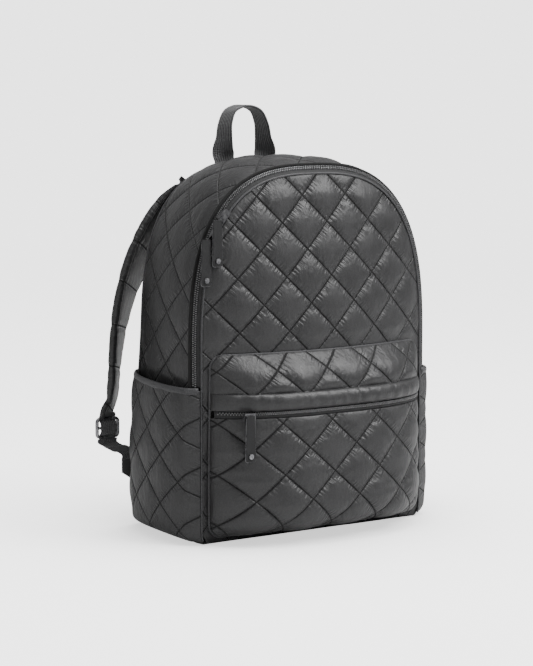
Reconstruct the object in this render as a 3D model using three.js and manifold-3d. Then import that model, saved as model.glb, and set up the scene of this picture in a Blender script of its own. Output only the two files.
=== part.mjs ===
// Quilted puffer backpack in millimetres: +X to the right seen from the front, the front faces -Y, +Z up.
// The origin lies on the ground under the middle of the bag's flat base.
import * as THREE from "three";
import { mergeVertices } from "three/addons/utils/BufferGeometryUtils.js";
import Module from "manifold-3d";

const wasm = await Module();
wasm.setup();

// Body: an arch on straight sides, deepest at the zipper lip, a little narrower at the back.
const BODY_HEIGHT = 410;
const HALF_WIDTH = 157;
const SPRING_Z = 205;
const ARCH_POWER = 2.74;
const BASE_CORNER = 14;
const LIP_Y = -44;
const SEAM_Y = -52;
const SEAM_INSET = 9.8;
const REAR_Y = 91;
const REAR_TAPER_SIDE = 20;
const REAR_TAPER_TOP = 4;
const SIDE_CROWN = 4.5;
const FRONT_CROWN = 27;
const BACK_CROWN = 4;

// Padded cloth: wall at the seams, and the height of a pillow between them.
const WALL = 2.5;
const PUFF = 5;
const GAP = 0.3;
const EDGE_FADE = 16;

// Quilting: diamonds on point, each with a width, a height and one crossing of the seams as its origin.
const FRONT_QUILT = { across: 58.2, up: 58.6, across0: -19.5, up0: 319 };
const SIDE_QUILT = { across: 68, up: 57, across0: 11, up0: 251 };
const BACK_QUILT = { across: 58.2, up: 58.6, across0: 0, up0: 200 };
const POCKET_QUILT = { across: 61.6, up: 56.2, across0: -43.1, up0: 106.4 };
const SIDE_POCKET_QUILT = { across: 56, up: 54, across0: -7, up0: 151 };

// Front pocket: a padded hood rolls over a zipper, and the quilted face below it sags forward.
const POCKET_TOP_Z = 208;
const POCKET_CREASE_Z = 167;
const POCKET_ROLL_Z = 148.2;
const POCKET_FACE_Z = 140.5;
const POCKET_BOTTOM_Z = 8;
const POCKET_MARGIN = 7.5;
const POCKET_CORNER = 15;
const POCKET_BULGE = 48;
const POCKET_SAG = 12;
const POCKET_SHOULDER_Z = 46;
const ROLL_PUFF = 6.5;
const PANEL_FLAT_Z = 60;

// Side pockets: open at the rim, fuller than the body behind them.
const RIM_FRONT_Z = 170;
const RIM_REAR_Z = 175;
const SIDE_POCKET_PUFF = 12;
const SIDE_POCKET_PEAK = 0.58;
const SIDE_POCKET_SHOULDER_Z = 55;
const SIDE_POCKET_CLEAR = 2.2;
const SIDE_POCKET_FOOT = 0.5;
const RIM_BINDING = 3;

// Zippers.
const TAPE = 1;
const CHAIN_WIDTH = 4;
const CHAIN_HEIGHT = 2;
const SLIDER = { width: 9, length: 14, height: 5 };
const PULL = { length: 50, topWidth: 10, endWidth: 12.4, thickness: 2.4 };
const RIVET = { radius: 3, height: 1.2 };
const ARM_WIDTH = 5;
const ARM_THICKNESS = 2;
const POCKET_SLIDER = { x: -113, z: 143.5 };
const POCKET_HANG = { side: 1, front: 4.2, down: -2 };

// Main sliders: height as a share of BODY_HEIGHT, hang of the pull from the slider, and the slider's lean.
const MAIN_PULLS = [
  { name: "main_pull_upper", up: 0.8805, hang: { side: 12.5, front: 6.5, down: 4 }, lean: 0.75 },
  { name: "main_pull_lower", up: 0.8341, hang: { side: 14.4, front: 4.2, down: 6 }, lean: 0.45 },
];

// Webbing handle that stands on the rear top seam.
const HANDLE_WIDTH = 25;
const HANDLE_THICKNESS = 2.6;
const HANDLE_RISE = 65;
const HANDLE_HALF_SPAN = 27;
const HANDLE_SHIFT = -2;
const HANDLE_FOOT_SPREAD = 27;

// Shoulder straps, webbing, buckles and lower anchors. Shares are of HALF_WIDTH, STRAP_STANDOFF and BODY_HEIGHT.
const STRAP_WIDTH = 60;
const STRAP_THICKNESS = 11;
const STRAP_STANDOFF = 27;
const STRAP_TABLE = [
  { across: 0.36, behind: 0.56, up: 0.925, turn: 2, width: 1 },
  { across: 0.39, behind: 0.66, up: 0.91, turn: 4, width: 1 },
  { across: 0.436, behind: 0.8, up: 0.895, turn: 8, width: 1 },
  { across: 0.522, behind: 0.95, up: 0.866, turn: 13, width: 1 },
  { across: 0.63, behind: 1.04, up: 0.822, turn: 21, width: 1 },
  { across: 0.745, behind: 1.11, up: 0.759, turn: 29, width: 1 },
  { across: 0.838, behind: 1.13, up: 0.69, turn: 36, width: 1 },
  { across: 0.915, behind: 1.09, up: 0.615, turn: 43, width: 1 },
  { across: 0.967, behind: 1.04, up: 0.537, turn: 48, width: 1 },
  { across: 1.003, behind: 0.96, up: 0.461, turn: 52, width: 0.97 },
  { across: 1.03, behind: 0.85, up: 0.395, turn: 53, width: 0.8 },
  { across: 1.055, behind: 0.77, up: 0.345, turn: 46, width: 0.52 },
];
const WEBBING_WIDTH = 25;
const WEBBING_THICKNESS = 2;
const STRAP_END = 6;
const STRAP_END_FULLNESS = 0.25;
const BUCKLE = { across: 1.096, behind: 0.72, up: 0.27, wide: 31, tall: 25, rim: 4, thickness: 5 };
const ANCHOR = { across: 0.95, up: 0.145, reach: 12, tall: 32, thickness: 3, lift: 1.2 };
const KEEPER = { share: 0.52, length: 12, thickness: 1.2 };

const NYLON = new THREE.MeshStandardMaterial({ color: 0x2b2b2e, roughness: 0.5, metalness: 0 });
const BINDING = new THREE.MeshStandardMaterial({ color: 0x242426, roughness: 0.7, metalness: 0 });
const TAPE_CLOTH = new THREE.MeshStandardMaterial({ color: 0x19191b, roughness: 0.85, metalness: 0 });
const WEBBING = new THREE.MeshStandardMaterial({ color: 0x2f2f31, roughness: 0.85, metalness: 0 });
const TEETH = new THREE.MeshStandardMaterial({ color: 0x2a2a2c, roughness: 0.35, metalness: 0.2 });
const DARK_METAL = new THREE.MeshStandardMaterial({ color: 0x37373a, roughness: 0.4, metalness: 0.8 });
const RUBBER = new THREE.MeshStandardMaterial({ color: 0x222224, roughness: 0.55, metalness: 0 });
const BUCKLE_METAL = new THREE.MeshStandardMaterial({ color: 0x5a5b5e, roughness: 0.35, metalness: 0.8 });

const backpack = new THREE.Group();

function addMesh(name, geometry, material) {
  const mesh = new THREE.Mesh(geometry, material);
  mesh.name = name;
  backpack.add(mesh);
}

function smoothstep(from, to, value) {
  return THREE.MathUtils.smoothstep(value, from, to);
}

// Lip outline from the left end of the base, up the side, over the arch and down to the right end.
const CORNER_STEPS = 12;
const ARCH_STEPS = 400;

function outlinePoints() {
  const points = [];
  const centre = HALF_WIDTH - BASE_CORNER;
  const rise = BODY_HEIGHT - SPRING_Z;
  for (let i = 0; i <= CORNER_STEPS; i++) {
    const a = (Math.PI / 2) * (i / CORNER_STEPS);
    points.push([-centre - BASE_CORNER * Math.sin(a), BASE_CORNER * (1 - Math.cos(a))]);
  }
  for (let i = 0; i <= ARCH_STEPS; i++) {
    const a = Math.PI * (i / ARCH_STEPS);
    const c = Math.cos(a);
    const x = -HALF_WIDTH * Math.sign(c) * Math.abs(c) ** (2 / ARCH_POWER);
    points.push([x, SPRING_Z + rise * Math.abs(Math.sin(a)) ** (2 / ARCH_POWER)]);
  }
  for (let i = CORNER_STEPS; i >= 0; i--) points.push([-points[i][0], points[i][1]]);
  return points;
}

const OUTLINE = outlinePoints();
const OUTLINE_LENGTHS = [0];
for (let i = 1; i < OUTLINE.length; i++) {
  const [x, z] = OUTLINE[i];
  const [x0, z0] = OUTLINE[i - 1];
  OUTLINE_LENGTHS.push(OUTLINE_LENGTHS[i - 1] + Math.hypot(x - x0, z - z0));
}
const OUTLINE_LENGTH = OUTLINE_LENGTHS[OUTLINE.length - 1];

function outlinePlace(s) {
  const want = THREE.MathUtils.clamp(s, 0, OUTLINE_LENGTH);
  let i = 1;
  while (i < OUTLINE.length - 1 && OUTLINE_LENGTHS[i] < want) i++;
  const share = (want - OUTLINE_LENGTHS[i - 1]) / (OUTLINE_LENGTHS[i] - OUTLINE_LENGTHS[i - 1]);
  const [x0, z0] = OUTLINE[i - 1];
  const [x1, z1] = OUTLINE[i];
  return { x: x0 + (x1 - x0) * share, z: z0 + (z1 - z0) * share };
}

const NORMAL_STEP = 2;

function outlineAt(s) {
  const { x, z } = outlinePlace(s);
  const before = outlinePlace(s - NORMAL_STEP);
  const after = outlinePlace(s + NORMAL_STEP);
  const run = Math.hypot(after.x - before.x, after.z - before.z);
  return { x, z, nx: -(after.z - before.z) / run, nz: (after.x - before.x) / run };
}

// Distance along the outline at which the left side reaches a height on its straight stretch.
function lengthAtHeight(z) {
  return (Math.PI / 2) * BASE_CORNER + z - BASE_CORNER;
}

function sideTaper(z) {
  return REAR_TAPER_SIDE * (0.5 + 0.5 * smoothstep(SPRING_Z * 0.4, SPRING_Z * 1.2, z));
}

// A point on the body's skin at a distance along the outline and a depth, moved out from the skin.
function bodyPoint(s, y, out = 0) {
  const p = outlineAt(s);
  const depth = (y - LIP_Y) / (REAR_Y - LIP_Y);
  const back = Math.max(0, depth);
  const inset = depth < 0 ? (SEAM_INSET * (LIP_Y - y)) / (LIP_Y - SEAM_Y) : 0;
  const crown = SIDE_CROWN * 4 * back * Math.max(0, 1 - back) * smoothstep(0, BASE_CORNER, p.z);
  const grow = crown + out - inset;
  const rise = Math.max(0, p.z - SPRING_Z);
  const topShare = 1 - (REAR_TAPER_TOP * back) / (BODY_HEIGHT - SPRING_Z);
  const x = p.x * (1 - (sideTaper(p.z) * back) / HALF_WIDTH) + p.nx * grow;
  const z = Math.min(p.z, SPRING_Z) + rise * topShare + p.nz * (p.nz > 0 ? grow : Math.min(out, 0));
  return new THREE.Vector3(x, y, z);
}

// Height of a pillow: zero along the seams, one in the middle of each diamond.
function pillow(quilt, across, up) {
  const u = (across - quilt.across0) / quilt.across;
  const v = (up - quilt.up0) / quilt.up;
  return Math.sqrt(Math.abs(Math.sin(Math.PI * (u + v)) * Math.sin(Math.PI * (u - v))));
}

// Grid lines on a quarter of a diamond, so that seams run through the grid's corners, between two ends.
function quiltLines(from, to, origin, pitch, parts = 4) {
  const step = pitch / parts;
  const lines = [{ at: from, index: Math.ceil((from - origin) / step - 0.3) - 1 }];
  for (let k = lines[0].index + 1; origin + k * step < to - 0.3 * step; k++) {
    if (origin + k * step > from + 0.3 * step) lines.push({ at: origin + k * step, index: k });
  }
  lines.push({ at: to, index: lines[lines.length - 1].index + 1 });
  return lines;
}

function plainLines(from, to, count) {
  const lines = [];
  for (let i = 0; i <= count; i++) lines.push({ at: from + ((to - from) * i) / count, index: i });
  return lines;
}

// Turns a list of points and triangles into a geometry whose faces point out.
function closedGeometry(points, triangles) {
  let volume = 0;
  const cross = new THREE.Vector3();
  for (const [a, b, c] of triangles) volume += points[a].dot(cross.crossVectors(points[b], points[c]));
  const turned = volume < 0 ? triangles.map(([a, b, c]) => [a, c, b]) : triangles;
  const geometry = new THREE.BufferGeometry().setFromPoints(points);
  geometry.setIndex(turned.flat());
  geometry.computeVertexNormals();
  return geometry;
}

// A padded sheet: an outer and an inner skin over the same grid, closed round its edge.
function sheetGeometry(columns, rows, outer, inner) {
  const points = [];
  for (const skin of [outer, inner]) {
    for (const row of rows) {
      for (const column of columns) points.push(skin(column.at, row.at));
    }
  }
  const wide = columns.length;
  const layer = wide * rows.length;
  const triangles = [];
  for (let j = 0; j + 1 < rows.length; j++) {
    for (let i = 0; i + 1 < wide; i++) {
      const a = j * wide + i;
      const b = a + 1;
      const c = a + wide;
      const d = c + 1;
      const rising = (columns[i].index + rows[j].index) % 2 === 0;
      const pair = rising ? [[a, b, d], [a, d, c]] : [[a, b, c], [b, d, c]];
      for (const [p, q, r] of pair) triangles.push([p, q, r], [p + layer, r + layer, q + layer]);
    }
  }
  const edge = [];
  for (let i = 0; i + 1 < wide; i++) edge.push([i + 1, i], [layer - wide + i, layer - wide + i + 1]);
  for (let j = 0; j + 1 < rows.length; j++) {
    edge.push([j * wide, (j + 1) * wide], [(j + 2) * wide - 1, (j + 1) * wide - 1]);
  }
  for (const [p, q] of edge) triangles.push([p, q, q + layer], [p, q + layer, p + layer]);
  return closedGeometry(points, triangles);
}

// A closed strip: one section carried along stations that each give a centre and two half axes.
function stripGeometry(stations, section) {
  const points = [];
  for (const { centre, side, face } of stations) {
    for (const [a, b] of section) points.push(centre.clone().addScaledVector(side, a).addScaledVector(face, b));
  }
  const n = section.length;
  const triangles = [];
  for (let j = 0; j + 1 < stations.length; j++) {
    for (let i = 0; i < n; i++) {
      const k = (i + 1) % n;
      triangles.push([j * n + i, j * n + k, (j + 1) * n + k], [j * n + i, (j + 1) * n + k, (j + 1) * n + i]);
    }
  }
  const last = (stations.length - 1) * n;
  for (let i = 1; i + 1 < n; i++) triangles.push([0, i + 1, i], [last, last + i, last + i + 1]);
  return closedGeometry(points, triangles);
}

const FLAT_SECTION = [[-1, -1], [1, -1], [1, 1], [-1, 1]];
const PADDED_SECTION = [[-1, -0.3], [-0.8, -0.9], [0, -1], [0.8, -0.9], [1, -0.3], [1, 0.3], [0.8, 0.9], [0, 1], [-0.8, 0.9], [-1, 0.3]];

function toSolid(geometry) {
  const bare = geometry.clone();
  bare.deleteAttribute("normal");
  bare.deleteAttribute("uv");
  const merged = mergeVertices(bare, 1e-4);
  const vertProperties = new Float32Array(merged.attributes.position.array);
  const triVerts = new Uint32Array(merged.index.array);
  return new wasm.Manifold(new wasm.Mesh({ numProp: 3, vertProperties, triVerts }));
}

function fromSolid(solid) {
  const mesh = solid.getMesh();
  const geometry = new THREE.BufferGeometry();
  geometry.setAttribute("position", new THREE.BufferAttribute(mesh.vertProperties, 3));
  geometry.setIndex(new THREE.BufferAttribute(mesh.triVerts, 1));
  geometry.computeVertexNormals();
  return geometry;
}

function mirrored(geometry) {
  const copy = mergeVertices(geometry.clone()).scale(-1, 1, 1);
  const index = copy.index.array;
  for (let i = 0; i < index.length; i += 3) [index[i + 1], index[i + 2]] = [index[i + 2], index[i + 1]];
  return copy;
}

// Half width and edge share of the arch that a panel fills: 0 in the middle, 1 on its seam.
function archHalf(z, half, top) {
  const share = THREE.MathUtils.clamp((z - SPRING_Z) / (top - SPRING_Z), 0, 1);
  return half * (1 - share ** ARCH_POWER) ** (1 / ARCH_POWER);
}

const FRONT_HALF = HALF_WIDTH - SEAM_INSET;
const FRONT_TOP = BODY_HEIGHT - SEAM_INSET;
const BACK_HALF = HALF_WIDTH - REAR_TAPER_SIDE;
const BACK_TOP = BODY_HEIGHT - REAR_TAPER_TOP;

function edgeRoom(x, z, half, top) {
  const share = Math.max(0, z - SPRING_Z) / (top - SPRING_Z);
  const reach = ((Math.abs(x) / half) ** ARCH_POWER + share ** ARCH_POWER) ** (1 / ARCH_POWER);
  return Math.max(0, 1 - reach) * half;
}

// Skin of the front panel: crowned above the pocket, flat behind the bottom of it.
function frontPanelY(x, z) {
  const half = Math.max(1, archHalf(z, FRONT_HALF, FRONT_TOP));
  const across = 1 - Math.min(1, Math.abs(x) / half) ** 2;
  const share = Math.max(0, z - SPRING_Z) / (FRONT_TOP - SPRING_Z);
  const up = z > SPRING_Z ? 1 - Math.min(1, share) ** 1.6 : smoothstep(PANEL_FLAT_Z, SPRING_Z, z);
  return SEAM_Y - FRONT_CROWN * across * up;
}

function frontPuff(x, z) {
  const edge = Math.min(1, edgeRoom(x, z, FRONT_HALF, FRONT_TOP) / EDGE_FADE);
  const abovePocket = smoothstep(POCKET_TOP_Z, POCKET_TOP_Z + 1.5 * EDGE_FADE, z);
  return PUFF * pillow(FRONT_QUILT, x, z) * edge * abovePocket;
}

// Outline of a panel as a prism through its whole depth, from points round the body at one depth.
function panelPrism(y, out, from, to) {
  const shape = new THREE.Shape();
  const count = 96;
  for (let i = 0; i <= count; i++) {
    const p = bodyPoint((OUTLINE_LENGTH * i) / count, y, 0);
    const shrink = (HALF_WIDTH + out) / HALF_WIDTH;
    if (i === 0) shape.moveTo(p.x * shrink, p.z + GAP);
    else shape.lineTo(p.x * shrink, p.z + (p.z < SPRING_Z ? GAP : out));
  }
  shape.closePath();
  const prism = new THREE.ExtrudeGeometry(shape, { depth: to - from, bevelEnabled: false });
  prism.rotateX(Math.PI / 2).translate(0, to, 0);
  return prism;
}

function buildFrontPanel() {
  const reach = FRONT_HALF + FRONT_QUILT.across / 4;
  const columns = quiltLines(-reach, reach, FRONT_QUILT.across0, FRONT_QUILT.across);
  const high = quiltLines(POCKET_TOP_Z, FRONT_TOP + FRONT_QUILT.up / 4, FRONT_QUILT.up0, FRONT_QUILT.up);
  const low = plainLines(-FRONT_QUILT.up / 4, POCKET_TOP_Z, 6).slice(0, -1);
  const rows = low.map(({ at }, i) => ({ at, index: high[0].index - low.length + i })).concat(high);
  const outer = (x, z) => new THREE.Vector3(x, frontPanelY(x, z) - frontPuff(x, z), z);
  const inner = (x, z) => new THREE.Vector3(x, frontPanelY(x, z) + WALL, z);
  const slab = toSolid(sheetGeometry(columns, rows, outer, inner));
  const prism = toSolid(panelPrism(SEAM_Y, -GAP, SEAM_Y - FRONT_CROWN - 2 * PUFF, SEAM_Y + 2 * WALL));
  addMesh("front_panel", fromSolid(slab.intersect(prism)), NYLON);
}

function backPanelY(x, z) {
  const room = edgeRoom(x, z, BACK_HALF, BACK_TOP);
  return REAR_Y + GAP + BACK_CROWN * Math.min(1, room / (3 * EDGE_FADE));
}

function backPuff(x, z) {
  const edge = Math.min(1, edgeRoom(x, z, BACK_HALF, BACK_TOP) / EDGE_FADE);
  return 0.5 * PUFF * pillow(BACK_QUILT, x, z) * edge * smoothstep(0, 2 * EDGE_FADE, z);
}

function buildBackPanel() {
  const reach = HALF_WIDTH;
  const columns = quiltLines(-reach, reach, BACK_QUILT.across0, BACK_QUILT.across, 2);
  const rows = quiltLines(-BACK_QUILT.up / 2, BACK_TOP + BACK_QUILT.up / 2, BACK_QUILT.up0, BACK_QUILT.up, 2);
  const outer = (x, z) => new THREE.Vector3(x, backPanelY(x, z) + WALL + backPuff(x, z), z);
  const inner = (x, z) => new THREE.Vector3(x, backPanelY(x, z), z);
  const slab = toSolid(sheetGeometry(columns, rows, outer, inner));
  const prism = toSolid(panelPrism(REAR_Y, 0, REAR_Y, REAR_Y + BACK_CROWN + 4 * PUFF));
  addMesh("back_panel", fromSolid(slab.intersect(prism)), NYLON);
}

// The gusset is the side and top band. It is plain where the side pockets cover it.
const ZIP_START = lengthAtHeight(RIM_FRONT_Z);
const ZIP_END = OUTLINE_LENGTH - ZIP_START;
const CLOSED_LIP_Y = SEAM_Y + WALL + 2 * GAP;

function gussetRows() {
  const corner = (Math.PI / 2) * BASE_CORNER;
  const low = plainLines(0, corner, 4).concat(plainLines(corner, ZIP_START, 3).slice(1));
  const originS = lengthAtHeight(SIDE_QUILT.up0);
  const high = quiltLines(ZIP_START, ZIP_END, originS, SIDE_QUILT.up);
  const down = low.map(({ at }) => ({ at: OUTLINE_LENGTH - at, index: 0 })).reverse();
  const lastIndex = high[high.length - 1].index;
  const rows = low.slice(0, -1).map(({ at }, i) => ({ at, index: high[0].index - low.length + 1 + i }));
  return rows.concat(high, down.slice(1).map(({ at }, i) => ({ at, index: lastIndex + 1 + i })));
}

const GUSSET_COLUMNS = quiltLines(LIP_Y, REAR_Y, SIDE_QUILT.across0, SIDE_QUILT.across);

function closedDepth(y, s) {
  return y === LIP_Y && (s < ZIP_START || s > ZIP_END) ? CLOSED_LIP_Y : y;
}

function buildGusset() {
  const quilt = { ...SIDE_QUILT, up0: lengthAtHeight(SIDE_QUILT.up0) };
  const puff = (y, s) => {
    const edge = Math.min(1, Math.min(y - LIP_Y, REAR_Y - y) / EDGE_FADE);
    const room = Math.min(s - ZIP_START, ZIP_END - s);
    return PUFF * pillow(quilt, y, s) * edge * smoothstep(0, EDGE_FADE, room);
  };
  const outer = (y, s) => bodyPoint(s, closedDepth(y, s), puff(y, s));
  const inner = (y, s) => bodyPoint(s, closedDepth(y, s), -WALL);
  addMesh("gusset_panel", sheetGeometry(GUSSET_COLUMNS, gussetRows(), outer, inner), NYLON);
}

// The base closes the bag between the two ends of the gusset.
function buildBase() {
  const side = GUSSET_COLUMNS.map(({ at }) => {
    const p = bodyPoint(0, closedDepth(at, 0), -WALL);
    return [p.x + 2 * GAP, p.y];
  });
  const shape = new THREE.Shape();
  shape.moveTo(...side[0]);
  for (const [x, y] of side.slice(1)) shape.lineTo(x, y);
  for (const [x, y] of side.reverse()) shape.lineTo(-x, y);
  shape.closePath();
  addMesh("base_panel", new THREE.ExtrudeGeometry(shape, { depth: WALL, bevelEnabled: false }), NYLON);
}

// Main zipper: a tape on the slope between lip and seam, and the closed chain of teeth on it.
const TAPE_OUTER_Y = LIP_Y - 0.5;
const TAPE_INNER_Y = SEAM_Y + 1.4;
const CHAIN_Y = LIP_Y - 2;

function zipRows() {
  const clear = RIM_BINDING + 3 * GAP;
  return plainLines(ZIP_START + clear, ZIP_END - clear, 48);
}

function buildMainZipper() {
  const tapeColumns = plainLines(TAPE_INNER_Y, TAPE_OUTER_Y, 1);
  const tape = sheetGeometry(tapeColumns, zipRows(), (y, s) => bodyPoint(s, y), (y, s) => bodyPoint(s, y, -TAPE));
  addMesh("main_zipper_tape", tape, TAPE_CLOTH);
  const slope = Math.hypot(SEAM_INSET, LIP_Y - SEAM_Y) / (LIP_Y - SEAM_Y);
  const chainColumns = plainLines(CHAIN_Y - CHAIN_WIDTH / slope, CHAIN_Y, 1);
  const outer = (y, s) => bodyPoint(s, y - CHAIN_HEIGHT / 2, CHAIN_HEIGHT / 2 + GAP);
  const inner = (y, s) => bodyPoint(s, y, GAP);
  addMesh("main_zipper_teeth", sheetGeometry(chainColumns, zipRows(), outer, inner), TEETH);
}

// Front pocket skins. Column positions run from edge to edge, and the corners are rounded.
const POCKET_HALF = FRONT_HALF - POCKET_MARGIN;

function pocketHalfAt(z) {
  const room = Math.min(z - POCKET_BOTTOM_Z, POCKET_TOP_Z - z);
  const drop = POCKET_CORNER - THREE.MathUtils.clamp(room, 0, POCKET_CORNER);
  return POCKET_HALF - POCKET_CORNER + Math.sqrt(POCKET_CORNER ** 2 - drop ** 2);
}

function pocketBulge(x, z) {
  const across = (1 - Math.min(1, Math.abs(x) / POCKET_HALF) ** 3) ** 0.75;
  const low = THREE.MathUtils.clamp((POCKET_SHOULDER_Z - z) / (POCKET_SHOULDER_Z - POCKET_BOTTOM_Z), 0, 1);
  const sag = (POCKET_SAG * (POCKET_FACE_Z - z)) / (POCKET_FACE_Z - POCKET_SHOULDER_Z);
  return (POCKET_BULGE + sag) * across * (1 - low ** 2.2) ** 0.6;
}

function pocketSkinY(x, z) {
  const seat = 2 * GAP + WALL;
  if (z >= POCKET_CREASE_Z) {
    const share = Math.sin((Math.PI / 2) * ((POCKET_TOP_Z - z) / (POCKET_TOP_Z - POCKET_CREASE_Z)));
    const top = frontPanelY(x, POCKET_TOP_Z);
    const crease = frontPanelY(POCKET_HALF, POCKET_CREASE_Z) - pocketBulge(x, POCKET_CREASE_Z);
    const edge = Math.min(frontPanelY(x, z), top + (crease - top) * share);
    return edge - seat;
  }
  return frontPanelY(POCKET_HALF, z) - pocketBulge(x, z) - seat;
}

function pocketPuff(x, z) {
  const edge = Math.min(1, (POCKET_HALF - Math.abs(x)) / EDGE_FADE);
  return PUFF * pillow(POCKET_QUILT, x, z) * Math.max(0, edge);
}

function pocketColumns() {
  return quiltLines(-POCKET_HALF, POCKET_HALF, POCKET_QUILT.across0, POCKET_QUILT.across);
}

function squeezed(x, z) {
  return (x * pocketHalfAt(z)) / POCKET_HALF;
}

// The hood's rows below the crease belong to the roll: each has a height and a share of ROLL_PUFF.
const ROLL_TABLE = [
  { up: 0.8, out: 0.45 },
  { up: 0.48, out: 1 },
  { up: 0.16, out: 0.85 },
  { up: 0, out: 0.15 },
];

function buildPocketHood() {
  const band = quiltLines(POCKET_CREASE_Z, POCKET_TOP_Z, POCKET_QUILT.up0, POCKET_QUILT.up);
  const roll = ROLL_TABLE.map(({ up }, i) => ({
    at: POCKET_ROLL_Z + (POCKET_CREASE_Z - POCKET_ROLL_Z) * up,
    index: band[0].index - 1 - i,
  }));
  const rollOut = new Map(roll.map(({ at }, i) => [at, ROLL_PUFF * ROLL_TABLE[i].out]));
  const lift = (x, z) => {
    if (rollOut.has(z)) return rollOut.get(z);
    const fade = Math.min(1, (POCKET_TOP_Z - z) / EDGE_FADE, (z - POCKET_CREASE_Z) / (0.5 * EDGE_FADE));
    return pocketPuff(x, z) * fade;
  };
  const outer = (x, z) => {
    const at = squeezed(x, z);
    return new THREE.Vector3(at, pocketSkinY(at, z) - lift(at, z), z);
  };
  const inner = (x, z) => {
    const at = squeezed(x, z);
    const tuck = rollOut.has(z) ? rollOut.get(z) : 0;
    return new THREE.Vector3(at, pocketSkinY(at, z) + WALL - tuck, z);
  };
  const top = band.pop();
  band.push({ at: top.at - POCKET_CORNER / 3, index: top.index }, { at: top.at, index: top.index + 1 });
  const rows = roll.reverse().concat(band);
  addMesh("front_pocket_hood", sheetGeometry(pocketColumns(), rows, outer, inner), NYLON);
}

function buildPocketFace() {
  const rows = quiltLines(POCKET_BOTTOM_Z, POCKET_FACE_Z, POCKET_QUILT.up0, POCKET_QUILT.up);
  const foot = rows.shift();
  rows.unshift({ at: foot.at, index: foot.index - 1 }, { at: foot.at + POCKET_CORNER / 3, index: foot.index });
  const lift = (x, z) => {
    const fade = Math.min(1, (POCKET_FACE_Z - z) / EDGE_FADE, (z - POCKET_BOTTOM_Z) / EDGE_FADE);
    return pocketPuff(x, z) * fade;
  };
  const outer = (x, z) => {
    const at = squeezed(x, z);
    return new THREE.Vector3(at, pocketSkinY(at, z) - lift(at, z), z);
  };
  const inner = (x, z) => {
    const at = squeezed(x, z);
    return new THREE.Vector3(at, pocketSkinY(at, z) + WALL, z);
  };
  addMesh("front_pocket_face", sheetGeometry(pocketColumns(), rows, outer, inner), NYLON);
}

function buildPocketZipper() {
  const recess = 0.8;
  const low = POCKET_FACE_Z + GAP;
  const high = POCKET_ROLL_Z - GAP;
  const columns = plainLines(-POCKET_HALF + WALL, POCKET_HALF - WALL, 18);
  const skin = (x, z, out) => new THREE.Vector3(x, pocketSkinY(x, z) + recess - out, z);
  const tape = sheetGeometry(columns, plainLines(low, high, 1), (x, z) => skin(x, z, 0), (x, z) => skin(x, z, -TAPE));
  addMesh("front_pocket_zipper_tape", tape, TAPE_CLOTH);
  const chain = plainLines(high - CHAIN_WIDTH, high, 1);
  const outer = (x, z) => skin(x, z, GAP + CHAIN_HEIGHT);
  const teeth = sheetGeometry(columns, chain, outer, (x, z) => skin(x, z, GAP));
  addMesh("front_pocket_zipper_teeth", teeth, TEETH);
}

// Side pocket skin, moved out from the body by a fullness that is widest in the middle.
function sidePocketOut(y, z) {
  const share = (y - SEAM_Y) / (REAR_Y - SEAM_Y);
  const reach = share < SIDE_POCKET_PEAK ? SIDE_POCKET_PEAK : 1 - SIDE_POCKET_PEAK;
  const across = 1 - (Math.abs(share - SIDE_POCKET_PEAK) / reach) ** 3;
  const low = THREE.MathUtils.clamp((SIDE_POCKET_SHOULDER_Z - z) / SIDE_POCKET_SHOULDER_Z, 0, 1);
  const clear = 2 * GAP + (SIDE_POCKET_CLEAR - 2 * GAP) * Math.min(1, 4 * across);
  return clear + WALL + SIDE_POCKET_PUFF * across * (1 - low ** 2.5) ** 0.6;
}

function rimHeight(y) {
  return RIM_FRONT_Z + ((RIM_REAR_Z - RIM_FRONT_Z) * (y - SEAM_Y)) / (REAR_Y - SEAM_Y);
}

function buildSidePocket() {
  const originS = lengthAtHeight(SIDE_POCKET_QUILT.up0);
  const topS = lengthAtHeight(RIM_FRONT_Z);
  const corner = (Math.PI / 2) * BASE_CORNER;
  const wall = quiltLines(corner, topS, originS, SIDE_POCKET_QUILT.up);
  const foot = plainLines(corner * SIDE_POCKET_FOOT, corner, 2).slice(0, -1);
  const rows = foot.map(({ at }, i) => ({ at, index: wall[0].index - foot.length + i })).concat(wall);
  const side = quiltLines(LIP_Y, REAR_Y, SIDE_POCKET_QUILT.across0, SIDE_POCKET_QUILT.across);
  const columns = [{ at: SEAM_Y, index: side[0].index - 1 }].concat(side);
  const quilt = { ...SIDE_POCKET_QUILT, up0: originS };
  const place = (y, s) => (s === topS ? lengthAtHeight(rimHeight(y)) : s);
  const outer = (y, s) => {
    const at = place(y, s);
    const edge = Math.min(1, (y - SEAM_Y) / EDGE_FADE, (REAR_Y - y) / EDGE_FADE, (topS - s) / EDGE_FADE);
    const low = smoothstep(corner, corner + 2 * EDGE_FADE, s);
    const puff = 0.8 * PUFF * pillow(quilt, y, s) * Math.max(0, edge) * low;
    return bodyPoint(at, y, sidePocketOut(y, outlineAt(at).z) + puff);
  };
  const inner = (y, s) => {
    const at = place(y, s);
    return bodyPoint(at, y, sidePocketOut(y, outlineAt(at).z) - WALL);
  };
  const pocket = sheetGeometry(columns, rows, outer, inner);
  addMesh("side_pocket_left", pocket, NYLON);
  addMesh("side_pocket_right", mirrored(pocket), NYLON);

  const rim = (y, up, inward) => {
    const at = lengthAtHeight(rimHeight(y) + up);
    return bodyPoint(at, y, sidePocketOut(y, RIM_FRONT_Z) - inward);
  };
  const band = plainLines(GAP, GAP + RIM_BINDING, 1);
  const binding = sheetGeometry(columns, band, (y, up) => rim(y, up, -0.5), (y, up) => rim(y, up, WALL));
  addMesh("side_pocket_binding_left", binding, BINDING);
  addMesh("side_pocket_binding_right", mirrored(binding), BINDING);
}

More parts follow.
